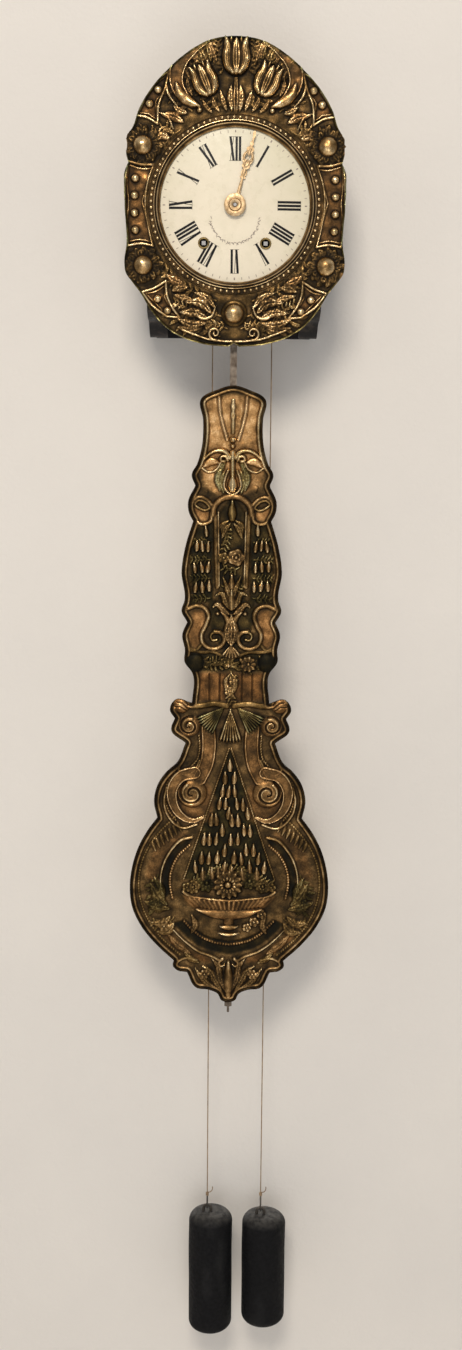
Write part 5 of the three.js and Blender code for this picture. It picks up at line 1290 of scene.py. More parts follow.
def rosette(relief, centre):
    """A boss in a wreath of jagged, crumpled leaves."""
    radius, height, leaves = ROSETTE
    for ring in (1.0, 0.84):
        for i in range(leaves):
            turn = FULL_TURN * (i + 0.5 * (ring < 1) + 0.35 * relief.random.random()) / leaves
            length = radius * ring * (0.88 + 0.22 * relief.random.random())
            sway = radius * 0.14 * (relief.random.random() - 0.5)
            spine = [(0, BOSS_RADIUS * 0.75), (sway, (BOSS_RADIUS + length) / 2), (-sway, length)]
            lift = height * (1.25 - 0.45 * ring) * (0.75 + 0.5 * relief.random.random())
            relief.stroke("leaf", radius * 0.25, lift, ROSETTE_TONE, "leaf", moved(spine, centre, turn))
    relief.dome(centre, radius * 1.1, height * 0.2, worn=ROSETTE_WEAR)
    relief.dome(centre, BOSS_RADIUS * 1.12, height * 0.7, ROSETTE_TONE)
    relief.dome(centre, BOSS_RADIUS, BOSS_HEIGHT, GOLD, BOSS_WEAR)


def make_fronton():
    cuts = section("fronton", FRONTON_FACE - SECTION_INSET)
    loops = [smooth(loop, OUTLINE_SPACING, True, CORNER) for loop in cuts[:2]]
    relief = Relief(loops, FRONTON_STEP, FRONTON_SEED)
    relief.tone += FRONTON_TONE
    for size, height, points in FRONTON_FOLIAGE:
        for half in (points, mirrored(points)):
            relief.foliage(half, size, height)
    relief.draw(FRONTON_STROKES)
    for outline, beads in PANELS:
        panel(relief, outline, beads)
        panel(relief, mirrored(outline), mirrored(beads))
    for foot, lean, tall in TULIPS:
        relief.draw(TULIP, foot, lean, tall, mirror=False)
    centre, radius, turns, start, hand = FRONTON_SPIRAL
    path = spiral(centre, radius, turns, start, hand)
    for points in (path, mirrored(path)):
        relief.stroke("round", SPIRAL_WIDTH, SPIRAL_HEIGHT, GOLD, "tail", points)
    for boss in SMALL_BOSSES:
        relief.dome(boss, *SMALL_BOSS, GOLD)
    edge = max(loops, key=len)
    relief.stroke("round", RIM_WIDTH, RIM_HEIGHT, -1.0, "even", edge[::3], closed=True)
    for centre in BOSSES:
        rosette(relief, centre)
    relief.dome(BOTTOM_BOSS, BOSS_RADIUS * 1.3, SMALL_BOSS[1], -0.4)
    relief.dome(BOTTOM_BOSS, BOSS_RADIUS, BOSS_HEIGHT, GOLD, BOSS_WEAR)
    for dents in FRONTON_DENTS:
        relief.beaten(*dents)
    clear = np.clip((np.hypot(relief.x, relief.y) - HOLE_MARGIN) / HOLE_SOFT, 0, 1)
    relief.height = np.where(relief.height > 0, relief.height * clear, relief.height)
    lip = reach("fronton")[0].z
    stamped_sheet(
        "fronton_stamping", relief, FRONTON_FACE, FRONTON_BACK, [lip, FRONTON_BACK],
        FRONTON_FACE - FRONTON_BACK, "case", "fronton", FRONTON_RIM_TONE,
    )


make_fronton()


# The pendulum plate: drawn across, and down from its top

PLATE_STEP = 1.2
PLATE_FACE = 167.5
PLATE_BACK = 166.0
PLATE_TOP = reach("pendulum_plate")[1].y
PLATE_ROUND_CORNER = 110 * DEG

PLATE_SHINE = 0.75
PLATE_WEAR = -0.08
PLATE_TONE = -0.15
PLATE_SEED = 23
PLATE_DENTS = [(1.6, 0.08), (4.0, 0.24)]
EDGE_ROLL = (3.4, 3.0)
EDGE_RIM = (6.8, 2.4, 3.8)

PLATE_REGIONS = [
    # level, tone, wear, soft edge, whether it is the right half of a pair, and outline
    (-0.8, 0.45, 0.85, 2.4, False, [(0, 12), (50, 26), (44, 80), (52, 118), (44, 160), (22, 168), (-22, 168),
                                    (-44, 160), (-52, 118), (-44, 80), (-50, 26)]),
    (0.0, 0.7, 0.7, 1.2, True, [(61, 190), (59, 204), (51, 211), (41, 211), (36, 203), (38, 197), (48, 198),
                                (56, 190)]),
    (-1.2, -0.9, 0, 1.5, True, [(35, 215), (54, 222), (64, 250), (66, 296), (60, 340), (30, 345), (30, 215)]),
    (-1.2, -0.7, 0, 1.5, False, [(-21, 200), (0, 172), (21, 200), (21, 340), (-21, 340)]),
    (-1.2, -0.8, 0, 1.5, False, [(-36, 340), (36, 340), (34, 380), (14, 420), (-14, 420), (-34, 380)]),
    (0.4, 0.7, 0.45, 1.8, True, [(64, 354), (46, 354), (40, 368), (48, 390), (44, 408), (58, 420), (74, 402),
                                (64, 380)]),
    (-0.6, -0.9, 0, 1.5, False, [(-72, 425), (72, 425), (72, 456), (-72, 456)]),
    (0.0, 0.8, 0.02, 1.8, False, [(-62, 458), (62, 458), (62, 504), (-62, 504)]),
    (-1.2, GREEN, 0, 1.5, False, [(0, 583), (76, 808), (-76, 808)]),
    (-0.2, 0.5, 0.1, 2.0, True, [(84, 620), (106, 640), (112, 668), (96, 706), (60, 716), (30, 704),
                                 (24, 668), (40, 630)]),
    (0.0, 0.4, 0.0, 2.0, True, [(66, 722), (100, 735), (128, 760), (140, 800), (110, 850), (108, 800),
                                (92, 756)]),
    (-1.6, -0.9, -0.6, 1.5, True, [(60, 734), (92, 753), (110, 799), (107, 840), (98, 832), (100, 799),
                                   (86, 762),
                                (64, 741)]),
    (-1.6, -0.9, -0.6, 1.5, False, [(92, 885), (47, 924), (0, 938), (-47, 924), (-92, 885), (-75, 877),
                                    (-42, 904),
                                 (0, 916), (42, 904), (75, 877)]),
    (0.2, 0.6, 0.1, 1.5, True, [(78, 922), (100, 895), (112, 905), (66, 944), (30, 955), (30, 944)]),
]

PLATE_STROKES = [
    # form, width, height, tone, taper, points of the right half
    ("round", 1.2, -1.6, None, "even", [(26, 18), (24, 42), (18, 66), (12, 84)]),
    ("round", 1.2, -1.6, None, "even", [(18, 18), (16, 42), (11, 66), (6, 84)]),
    ("round", 2.4, 1.4, 0.5, "even", [(22, 18), (20, 42), (14.5, 66), (9, 84)]),
    ("round", 2.0, 2.0, GOLD, "even", [(0.8, 22), (-1.6, 34), (1.8, 46), (-0.8, 58), (0, 74)]),
    ("leaf", 6.0, 3.0, -0.8, "leaf", [(20, 164), (24, 148), (18, 128), (8, 112)]),
    ("leaf", 5.0, 3.0, -0.8, "leaf", [(14, 168), (17, 152), (13, 134)]),
    ("round", 6.5, 3.0, 0.5, "bow", [(22, 120), (34, 118), (46, 127)]),
    ("round", 1.6, 3.4, GOLD, "even", [(19, 120), (26, 131), (38, 135), (48, 129)]),
    ("round", 1.2, -1.4, None, "even", [(20, 128), (28, 138), (40, 141)]),
    ("round", 4.2, 5.4, -0.2, "tail", [(5, 112), (12, 103), (24, 101), (36, 106), (46, 116)]),
    ("round", 2.4, 5.4, GOLD, "even", [(8, 116), (12, 110), (18, 111), (18, 117), (13, 118)]),
    ("round", 1.2, -1.6, None, "even", [(34, 143), (31, 152), (40, 158), (38, 168)]),
    ("round", 1.8, 4.8, GOLD, "even", [(7, 132), (12, 146), (13, 158), (7, 167), (0, 170)]),
    ("round", 5.0, 5.4, 0.2, "even", [(0, 173), (12, 175), (23, 182), (29, 191), (31, 202)]),
    ("round", 3.2, 4.6, GOLD, "even", [(33, 200), (34, 211), (44, 217), (57, 213), (66, 199), (64, 184),
                                       (53, 174), (41, 178), (33, 186)]),
    ("round", 2.2, 4.0, -0.3, "even", [(36, 190), (44, 182), (54, 180), (59, 185), (52, 192), (42, 195),
                                       (36, 192)]),
    ("leaf", 5.0, 4.4, -0.3, "leaf", [(3, 216), (10, 224), (16, 240)]),
    ("leaf", 4.4, 4.0, -0.4, "leaf", [(6, 212), (15, 218), (17, 232)]),
    ("flat", 3.2, 2.6, -0.2, "even", [(26.5, 204), (25.5, 254), (23, 318)]),
    ("round", 1.3, 3.8, GOLD, "even", [(22, 198), (21, 254), (20, 316)]),
    ("leaf", 5.4, 5.0, -0.3, "leaf", [(3, 354), (10, 342), (17, 328), (26, 332)]),
    ("leaf", 5.0, 4.6, -0.3, "leaf", [(2, 346), (4, 328), (10, 312), (14, 302)]),
    ("leaf", 5.4, 5.0, GOLD, "leaf", [(3, 362), (14, 354), (24, 346), (31, 352)]),
    ("round", 5.4, 5.6, GOLD, "tail", [(4, 374), (10, 364), (17, 358)]),
    ("round", 3.6, 5.0, GOLD, "even", [(70, 353), (56, 348), (43, 352), (37, 363), (40, 378), (48, 396),
                                       (44, 411), (30, 418), (16, 413), (11, 402), (17, 392), (27, 390)]),
    ("round", 2.2, 4.4, -0.4, "even", [(27, 390), (33, 396), (30, 404), (23, 403)]),
    ("round", 2.6, 2.6, -0.3, "even", [(48, 412), (58, 421), (70, 414)]),
    ("leaf", 6.5, 6.4, GOLD, "leaf", [(1, 412), (7, 396), (5, 380), (0, 364)]),
    ("round", 3.0, 2.6, -0.4, "even", [(0, 434), (16, 429), (30, 423), (46, 424), (66, 421)]),
    ("round", 1.2, -1.8, None, "even", [(18, 460), (18, 504)]),
    ("round", 1.2, -1.8, None, "even", [(35, 460), (35, 504)]),
    ("round", 1.2, -1.8, None, "even", [(53, 460), (53, 504)]),
    ("leaf", 5.0, 4.6, -0.2, "leaf", [(-8, 500), (4, 486), (8, 470), (0, 458)]),
    ("round", 5.0, 3.8, -0.4, "even", [(6, 512), (28, 509), (48, 512), (64, 512), (74, 508)]),
    ("band", 12.0, 4.6, 0.45, "even", [(36, 548), (35, 586), (39, 610), (50, 634)]),
    ("rope", 1.8, 3.4, -0.2, "even", [(51, 562), (50, 584), (54, 602), (66, 616)]),
    ("round", 2.4, 4.2, -0.2, "even", [(50, 604), (60, 622), (74, 628), (84, 620), (82, 612)]),
    ("band", 11.0, 6.0, 0.35, "tail", [(58, 624), (80, 630), (94, 650), (93, 676), (80, 697), (60, 706),
                                       (44, 700)]),
    ("round", 2.4, 4.6, GOLD, "even", [(104, 650), (108, 672), (100, 700), (78, 718), (54, 712)]),
    ("beads", 2.0, 3.0, -0.2, "even", [(90, 626), (102, 642), (106, 664), (100, 690), (88, 706)]),
    ("rope", 1.5, 2.4, -0.1, "even", [(2, 584), (39, 696), (76, 808)]),
    ("round", 3.0, 4.4, -0.1, "tail", [(62, 734), (78, 738), (96, 756), (110, 784), (114, 812), (108, 844)]),
    ("beads", 2.4, 3.4, 0.3, "even", [(66, 748), (84, 766), (96, 792), (98, 818), (94, 840)]),
    ("round", 2.8, 4.2, -0.1, "tail", [(14, 950), (22, 944), (50, 932), (76, 912), (97, 890)]),
    ("beads", 2.4, 3.4, 0.3, "even", [(0, 920), (22, 917), (44, 908), (64, 891), (74, 880)]),
    ("beads", 1.9, 2.4, -0.4, "even", [(90, 700), (112, 722), (134, 752), (148, 790), (150, 826), (143, 858),
                                       (126, 892), (100, 922), (80, 940)]),
    ("round", 3.2, 5.4, GOLD, "even", [(0, 844), (36, 841), (66, 836), (76, 828)]),
    ("leaf", 9.0, 4.6, -0.8, "leaf", [(104, 850), (118, 838), (130, 815)]),
    ("leaf", 9.0, 4.6, -0.7, "leaf", [(100, 858), (122, 854), (140, 846)]),
    ("leaf", 8.0, 4.6, -0.3, "leaf", [(98, 872), (112, 884), (130, 882)]),
    ("leaf", 8.0, 4.6, -0.3, "leaf", [(92, 884), (104, 898), (120, 898)]),
    ("leaf", 7.0, 4.4, -0.9, "leaf", [(108, 842), (112, 826), (124, 804)]),
    ("leaf", 6.0, 4.4, GOLD, "leaf", [(62, 900), (56, 886), (62, 868)]),
    ("leaf", 7.0, 3.6, 0.2, "leaf", [(64, 936), (84, 922), (102, 902)]),
    ("leaf", 6.5, 5.4, GOLD, "leaf", [(6, 1000), (14, 980), (18, 958), (28, 944)]),
    ("leaf", 6.5, 5.4, -0.2, "leaf", [(12, 1000), (22, 984), (32, 966), (44, 958)]),
    ("leaf", 6.0, 5.0, -0.2, "leaf", [(22, 996), (36, 988), (46, 976), (56, 962)]),
    ("round", 3.4, 5.4, GOLD, "tail", [(10, 945), (16, 952), (12, 958), (6, 954)]),
    ("round", 3.2, 4.4, -0.1, "tail", [(54, 948), (70, 944), (84, 950), (93, 960), (86, 964)]),
    ("leaf", 6.0, 4.8, -0.4, "leaf", [(50, 952), (62, 946), (74, 934)]),
]

PLATE_CENTRE = [
    # strokes on the axis
    ("drop", 7.4, 8.8, GOLD, [(0, 140), (0, 162)]),
    ("even", 3.4, 6.4, -0.2, [(0, 104), (0, 140)]),
    ("drop", 7.0, 5.6, -0.5, [(0, 180), (0, 208)]),
    ("drop", 5.0, 6.4, GOLD, [(0, 298), (0, 318)]),
    ("drop", 6.0, 6.4, -0.2, [(0, 322), (0, 352)]),
    ("leaf", 9.0, 7.6, GOLD, [(0, 412), (3, 392), (0, 362)]),
    ("drop", 9.0, 7.4, GOLD, [(0, 950), (0, 1000)]),
    ("drop", 5.0, 6.4, GOLD, [(0, 996), (0, 1012)]),
    ("even", 9.0, 5.6, 0.3, [(0, 874), (0, 880)]),
    ("bow", 5.5, 6.6, GOLD, [(-15, 888), (0, 890), (15, 888)]),
    ("bow", 4.0, 7.4, GOLD, [(-18, 899), (0, 902), (18, 899)]),
]

DROPS = {
    # places across, to each side of the axis, of the hanging drops at each depth of the barrel
    227: (41,),
    253: (38, 47, 56),
    286: (38, 48, 59),
    317: (36, 47, 58),
}
DROP_SIZE = (4.1, 5.8, 17)
TRIANGLE_DROPS = {
    613: (0,),
    632: (-8, 7),
    656: (-12, -2, 8),
    678: (-17, -7, 12, 22),
    692: (-2, 30),
    704: (-30, -22, 4, 14),
    722: (-12, 24, 34),
    738: (-42, -33, -22, 2, 14),
    756: (-8, 28, 40),
    770: (-46, -34, -20, 8, 20, 48),
    786: (-56, -8, 34, 58),
    796: (-44, -28, -18, 4, 22, 46),
}
TRIANGLE_DROP = (4.8, 5.2, 20)
DROP_TONE = 0.0
DROP_SWAY = 1.6

PLATE_BEADS = [
    # radius, height and places on the axis or the right half
    (4.6, 5.2, [(0, 84), (0, 104)]),
    (3.4, 5.4, [(0, 94), (8, 430), (16, 436), (-4, 446), (5, 470), (-5, 480)]),
    (3.4, 6.0, [(22, 361), (-22, 361)]),
]
SIDE_BULGES = ((58, 441), 15, 6.0, GREEN, -1.0)
EAR_KNOBS = ((80, 512), 13, 5.6, 0.5, 0.1)
EAR_CREASES = [
    [(70, 516), (79, 508), (88, 506)],
    [(72, 520), (82, 514), (92, 514)],
    [(69, 511), (75, 503), (82, 500)],
]
EAR_CREASE = (1.1, -2.4)
ROSE = ((-2, 815), 27, 10.0, 13, -0.1, 2)
PLATE_FLOWERS = [
    # centre, radius, height, petals, tone, rings
    ((7, 270), 15, 6.0, 5, GOLD, 2),
    ((-13, 271), 10, 4.6, 5, -0.4, 1),
    ((28, 443), 14, 6.0, 9, GOLD, 1),
    ((-10, 440), 9, 4.6, 5, -0.6, 1),
    ((4, 470), 8, 5.0, 5, -0.2, 1),
    ((-3, 488), 8, 5.0, 5, -0.2, 1),
    ((-37, 812), 18, 6.0, 9, -1.0, 3),
    ((-60, 820), 13, 5.0, 7, -0.5, 2),
    ((34, 808), 17, 6.0, 9, -0.9, 3),
    ((56, 818), 14, 5.4, 7, -0.6, 2),
    ((-19, 790), 9, 5.0, 7, -0.8, 1),
    ((20, 790), 9, 5.0, 7, -0.8, 1),
    ((70, 820), 9, 5.0, 5, -0.5, 1),
    ((-70, 820), 9, 5.0, 5, -0.5, 1),
    ((30, 890), 8, 5.4, 5, GOLD, 1),
    ((42, 880), 9, 5.8, 5, GOLD, 1),
    ((54, 866), 9, 5.8, 5, GOLD, 1),
    ((122, 850), 12, 4.6, 7, -0.9, 2),
    ((-122, 850), 12, 4.6, 7, -0.9, 2),
    ((-108, 888), 11, 5.0, 6, -0.2, 1),
    ((40, 972), 9, 5.6, 6, GOLD, 1),
    ((-40, 972), 9, 5.6, 6, GOLD, 1),
]
FLOWER_BAND = [
    # size, height, tone and stem of the small leaves, over the whole width
    (11, 4.0, -0.6, [(-52, 434), (-26, 446), (0, 442), (26, 450), (52, 436)]),
    (9, 3.6, -0.7, [(-50, 448), (-20, 436), (14, 446), (46, 446)]),
    (9, 4.0, -0.5, [(0, 456), (4, 472), (-4, 488), (2, 504)]),
    (11, 4.4, -0.7, [(-66, 812), (-30, 796), (0, 788), (30, 796), (66, 812)]),
    (10, 3.4, -0.8, [(-14, 214), (-6, 236), (-12, 256)]),
    (10, 3.4, -0.8, [(12, 286), (0, 292), (-12, 288)]),
    (10, 3.4, -0.8, [(-16, 316), (0, 322), (16, 316)]),
]
SIDE_FOLIAGE = [
    # the same, for the right half of a pair
    (9, 2.4, -0.9, [(34, 246), (60, 246)]),
    (9, 2.4, -0.9, [(34, 274), (62, 274)]),
    (9, 2.4, -0.9, [(34, 304), (62, 304)]),
    (10, 2.6, -0.9, [(34, 336), (60, 338)]),
    (14, 3.0, -0.9, [(118, 800), (128, 826), (124, 860)]),
    (12, 3.4, -0.5, [(92, 874), (108, 888), (124, 884)]),
]
SHELL_FANS = [
    # centre, radius, first and last angle, ribs and height
    ((-10, 514), 52, -160 * DEG, -112 * DEG, 8, 7.6, -0.9),
    ((10, 514), 52, -68 * DEG, -20 * DEG, 8, 7.6, -0.9),
    ((0, 516), 60, -110 * DEG, -70 * DEG, 7, 8.6, -0.3),
    ((0, 411), 24, -135 * DEG, -45 * DEG, 6, 6.4, GOLD),
]
VOLUTES = [
    # centre, radius, dome height, turns and first angle of its groove, and hand, of the right half
    ((67, 546), 18.0, 4.6, 1.5, 110 * DEG, -1),
    ((62, 659), 24.0, 7.4, 1.35, 60 * DEG, -1),
]
VOLUTE_TONE = 0.25
VOLUTE_INSIDE = 0.76
VOLUTE_INSET = 2
VOLUTE_GROOVE = (2.2, -3.4)
VOLUTE_RIM = (3.6, 0.6)
GADROONS = [
    # first and last place, count, length, width and height, of the right half
    ((80, 724), (122, 758), 7, 16, 3.4, 3.0),
]
GADROON_TONE = -0.2
BASKET = [(-79, 833), (-40, 841), (0, 845), (40, 841), (79, 833), (66, 850), (48, 862), (20, 868), (-20, 868),
          (-48, 862), (-66, 850)]
BASKET_LEVEL, BASKET_TONE = 2.4, 0.4
BASKET_GADROONS = (17, 4.2, 6.0)
# Half width, depth and bend of the basket where its gadroons begin and end
BASKET_ENDS = [(66, 846, 7), (52, 857, 5)]
BOWL = ("bow", 10.0, 7.2, 0.3, [(-54, 858), (-28, 865), (0, 867), (28, 865), (54, 858)])


def down(points):
    """Places drawn down from the plate's top, as places up from the dial's centre."""
    return [(across, PLATE_TOP - drop) for across, drop in points]


def drops(relief, rows, size, both):
    half_width, height, length = size
    for drop, places in rows.items():
        for across in places:
            for hand in (1, -1) if both else (1,):
                sway, slip, grow = relief.random.uniform(-1, 1, 3)
                head = (hand * across + sway * DROP_SWAY, drop - length * 0.5 + slip * DROP_SWAY)
                foot = (hand * across - sway * DROP_SWAY / 2, drop + length * 0.4 + slip * DROP_SWAY)
                wide = half_width * (1 + 0.12 * grow)
                relief.stroke("round", wide, height, DROP_TONE, "drop", down([head, foot]))


def volute(relief, centre, mirror, radius, rise, turns, start, hand):
    """A round scroll end: a dome with a spiral groove and a rim."""
    relief.dome(centre, radius, rise, VOLUTE_TONE)
    path = spiral((0, 0), radius - VOLUTE_INSET, turns, start, hand)
    around = [(centre[0] + mirror * x, centre[1] + y) for x, y in path]
    relief.stroke("round", *VOLUTE_GROOVE, None, "even", around)
    relief.stroke("round", VOLUTE_RIM[0], rise + VOLUTE_RIM[1], GOLD, "tail", around_inside(centre, around))


def around_inside(centre, path):
    """A spiral's neighbour, drawn a little closer to its centre."""
    centre = np.array(centre)
    return [centre + (np.array(point) - centre) * VOLUTE_INSIDE for point in path]


def basket(relief):
    """The basket: a gadrooned bowl on a foot, under its rolled rim."""
    relief.region(down(BASKET), BASKET_LEVEL, BASKET_TONE)
    count, width, height = BASKET_GADROONS
    for i in range(count):
        across = 2 * i / (count - 1) - 1
        path = down([(across * wide, drop - bend * across**2) for wide, drop, bend in BASKET_ENDS])
        relief.stroke("round", width, height * (1 - 0.25 * across**2), BASKET_TONE, "even", path)
    taper, width, height, tone, points = BOWL
    relief.stroke("round", width, height, tone, taper, down(points))


def make_plate():
    loops = section("pendulum_plate", PLATE_FACE - SECTION_INSET)
    outline = smooth(loops[0], OUTLINE_SPACING, True, CORNER, PLATE_ROUND_CORNER)
    relief = Relief([outline], PLATE_STEP, PLATE_SEED)
    relief.tone += PLATE_TONE
    relief.worn += PLATE_WEAR
    for level, tone, worn, soft, paired, points in PLATE_REGIONS:
        relief.region(down(points), level, tone, soft, worn)
        if paired:
            relief.region(down(mirrored(points)), level, tone, soft, worn)
    for size, height, tone, points in FLOWER_BAND:
        relief.foliage(down(points), size, height, tone)
    for size, height, tone, points in SIDE_FOLIAGE:
        for half in (points, mirrored(points)):
            relief.foliage(down(half), size, height, tone)
    strokes = [(form, width, height, tone, taper, down(points))
               for form, width, height, tone, taper, points in PLATE_STROKES]
    relief.draw(strokes)
    for centre, radius, first, last, ribs, height, tone in SHELL_FANS:
        relief.fan(*down([centre]), radius, first, last, ribs, height, tone)
    for centre, *shape in VOLUTES:
        for point, mirror in ((centre, 1), (mirrored([centre])[0], -1)):
            volute(relief, down([point])[0], mirror, *shape)
    for first, last, count, length, width, height in GADROONS:
        for i in range(count):
            share = i / (count - 1)
            middle = np.array(first) * (1 - share) + np.array(last) * share
            tip = middle + np.array([length * 0.35, -length * 0.9])
            for half in ([middle, tip], mirrored([middle, tip])):
                relief.stroke("round", width, height, GADROON_TONE, "drop", down(half))
    for centre, radius, height, petals, tone, rings in PLATE_FLOWERS:
        relief.flower(down([centre])[0], radius, height, petals, tone, rings)
    drops(relief, DROPS, DROP_SIZE, True)
    drops(relief, TRIANGLE_DROPS, TRIANGLE_DROP, False)
    basket(relief)
    for taper, width, height, tone, points in PLATE_CENTRE:
        form = "leaf" if taper == "leaf" else "round"
        relief.stroke(form, width, height, tone, taper, down(points))
    for radius, height, points in PLATE_BEADS:
        for point in down(points):
            relief.dome(point, radius, height, GOLD)
    centre, *rose = ROSE
    relief.flower(down([centre])[0], *rose)
    for dents in PLATE_DENTS:
        relief.beaten(*dents)
    dress_edge(relief, outline)
    for centre, *dome in (SIDE_BULGES, EAR_KNOBS):
        for point in down([centre, mirrored([centre])[0]]):
            relief.dome(point, *dome)
    for crease in EAR_CREASES:
        for path in (down(crease), down(mirrored(crease))):
            relief.stroke("round", *EAR_CREASE, None, "even", path)
    stamped_sheet(
        "pendulum_stamping", relief, PLATE_FACE, PLATE_BACK, [PLATE_BACK], 0, "pendulum", "pendulum_plate",
        IRON, PLATE_SHINE,
    )


def dress_edge(relief, outline):
    """The rolled iron edge of the plate, and the bright rim line inside it."""
    roll_width, roll_height = EDGE_ROLL
    inset, rim_width, rim_height = EDGE_RIM
    widest = inset + rim_width
    path = outline[::2]
    area, depth, _, _ = relief.trace(path, np.full(len(path), widest), closed=True)
    off = np.where(depth > 0, (1 - depth) * widest, widest)
    near = off < widest
    level = relief.height[area]
    rim = rim_height * np.sqrt(np.clip(1 - ((off - inset) / rim_width) ** 2, 0, 1))
    roll = roll_height * np.sqrt(np.clip(1 - ((off - roll_width / 2) / (roll_width * 0.62)) ** 2, 0, 1))
    level = np.where(off < inset, np.maximum(rim, roll), np.where(near, np.maximum(level, rim), level))
    relief.height[area] = level
    inner = np.where(near, GOLD, relief.tone[area])
    relief.tone[area] = np.where(off < roll_width * 1.1, IRON, inner)


make_plate()


# The bezel: turned mouldings and a ring of beads, over the fronton's hole and the dial's edge

BEZEL_SIDES = 192
BEZEL_BEADS = 87
BEAD_RING = 128.0
BEAD_RADIUS = 3.0
BEAD_WEAR = 1.7
BEZEL_HOLE = 114.0
BEZEL_OUTER = 132.5
BEZEL_STEP = 122.4
BEZEL_GAP = 0.3
BEZEL_LIP = 2.7
BEAD_FOOT = 0.8
BEAD_MESH = (5, 14)
BEZEL_MOULDING = [
    # radius, height over the face and wear
    (BEZEL_OUTER, 1.6, -0.8), (132.1, 2.1, -0.1), (131.6, 2.0, -0.4), (131.2, 0.9, -0.7), (128.0, 0.7, -0.5),
    (124.9, 0.9, -0.7), (124.5, 3.4, 0.0), (124.0, 4.2, 1.3), (123.3, 4.4, 1.5), (122.7, 3.7, 0.3),
    (122.2, 2.2, -1.4), (121.0, 1.8, -1.4), (120.4, 3.2, 0.0), (119.8, 3.5, 1.4), (119.0, 3.1, 1.4),
    (118.4, 2.0, 0.0), (117.4, -0.6, -0.6), (115.6, -3.2, 0.8),
]


def make_bezel():
    """Mouldings turned from a profile of radius, height over the face and wear, and the ring of beads."""
    low, high = reach("bezel")
    face = FRONTON_FACE + BEZEL_GAP
    seat = low.z - face
    profile = [
        (BEZEL_HOLE, seat, 0), (BEZEL_STEP, seat, 0), (BEZEL_STEP, 0, 0), (BEZEL_OUTER, 0, -1.0),
        *BEZEL_MOULDING, (BEZEL_HOLE, seat + BEZEL_LIP, 1.0),
    ]
    solid = Solid()
    wear = []
    for radius, rise, worn in profile:
        for i in range(BEZEL_SIDES):
            angle = FULL_TURN * i / BEZEL_SIDES
            solid.points.append(place(radius * math.cos(angle), radius * math.sin(angle), face + rise))
            wear.append(worn)
    solid.faces = grid_faces(len(profile), BEZEL_SIDES, wrap_rows=True, wrap_columns=True)
    piece = solid.piece("bezel_ring", STAMPED, "case", "bezel")
    label(piece, "wear", wear)
    label(piece, "tone", [GOLD] * len(wear))
    pearls = Solid()
    for i in range(BEZEL_BEADS):
        angle = FULL_TURN * i / BEZEL_BEADS
        centre = (BEAD_RING * math.cos(angle), BEAD_RING * math.sin(angle), face + BEAD_FOOT)
        pearls.dome(centre, BEAD_RADIUS, high.z - centre[2], *BEAD_MESH)
    piece = pearls.piece("bezel_beads", STAMPED, "case")
    label(piece, "wear", [BEAD_WEAR] * len(pearls.points))
    label(piece, "tone", [GOLD] * len(pearls.points))


make_bezel()


# The dial: domed enamel with numerals, a ring of minute strokes and a faint garland

DIAL_RADIUS = 121.0
DIAL_EDGE_OUT = 178.0
DIAL_RISE = 6.0
PAINT_LIFT, PAINT_FOOT = 0.10, -0.2
PAINT_STEP = 4.0
NUMERALS = ["XII", "I", "II", "III", "IIII", "V", "VI", "VII", "VIII", "IX", "X", "XI"]
NUMERAL_INNER, NUMERAL_OUTER = 65.3, 100.6
THICK, THIN = 3.5, 0.8
LETTER_PITCH = {"I": 5.2, "V": 8.6, "X": 8.6}
MINUTE_INNER, MINUTE_OUTER = 106.8, 110.4
MINUTE_WIDTH = 0.9
GARLAND = (35.0, -20.0, 34.0)
GARLAND_LEAVES = 30
GARLAND_LEAF = 5.0
GARLAND_SEED = 5


def dial_surface(radius):
    return DIAL_EDGE_OUT + DIAL_RISE * (1 - (radius / DIAL_RADIUS) ** 2)


def painted(solid, start, end, width):
    """A straight stroke painted on the domed dial, between two places on it."""
    start, end = np.array(start, float), np.array(end, float)
    along = (end - start) / np.linalg.norm(end - start)
    across = np.array([-along[1], along[0]]) * width / 2
    steps = max(2, round(np.linalg.norm(end - start) / PAINT_STEP))
    first = len(solid.points)
    for i in range(steps + 1):
        middle = start + (end - start) * i / steps
        for offset, lift in ((-1, PAINT_FOOT), (-1, PAINT_LIFT), (1, PAINT_LIFT), (1, PAINT_FOOT)):
            x, y = middle + across * offset
            solid.points.append(place(x, y, dial_surface(math.hypot(x, y)) + lift))
    solid.faces += grid_faces(steps + 1, 4, wrap_columns=True, start=first)
    solid.cap(first, steps + 1, 4, -1)


def letter_strokes(letter):
    """The strokes of a numeral's letter: from the foot at 0 to the head at 1, with their widths."""
    half = LETTER_PITCH["V"] / 2 - THICK / 2
    if letter == "I":
        return [(0, 0, 0, 1, THICK)]
    if letter == "V":
        return [(-half, 1, 0, 0, THICK), (half, 1, 0.6, 0, THIN)]
    return [(-half, 1, half, 0, THICK), (half, 1, -half, 0, THIN)]


def make_numerals():
    solid = Solid()
    height = NUMERAL_OUTER - NUMERAL_INNER
    for hour, numeral in enumerate(NUMERALS):
        turn = FULL_TURN * hour / len(NUMERALS)
        width = sum(LETTER_PITCH[letter] for letter in numeral)
        cursor = -width / 2
        for letter in numeral:
            middle = cursor + LETTER_PITCH[letter] / 2
            cursor += LETTER_PITCH[letter]
            for x0, y0, x1, y1, wide in letter_strokes(letter):
                ends = [(middle + x, NUMERAL_INNER + height * y) for x, y in ((x0, y0), (x1, y1))]
                painted(solid, *moved(ends, (0, 0), turn), wide)
        for radius in (NUMERAL_INNER, NUMERAL_OUTER):
            ends = [(-width / 2, radius), (width / 2, radius)]
            painted(solid, *moved(ends, (0, 0), turn), THIN / 2)
    piece = solid.piece("numerals", NUMERAL_INK, "case")


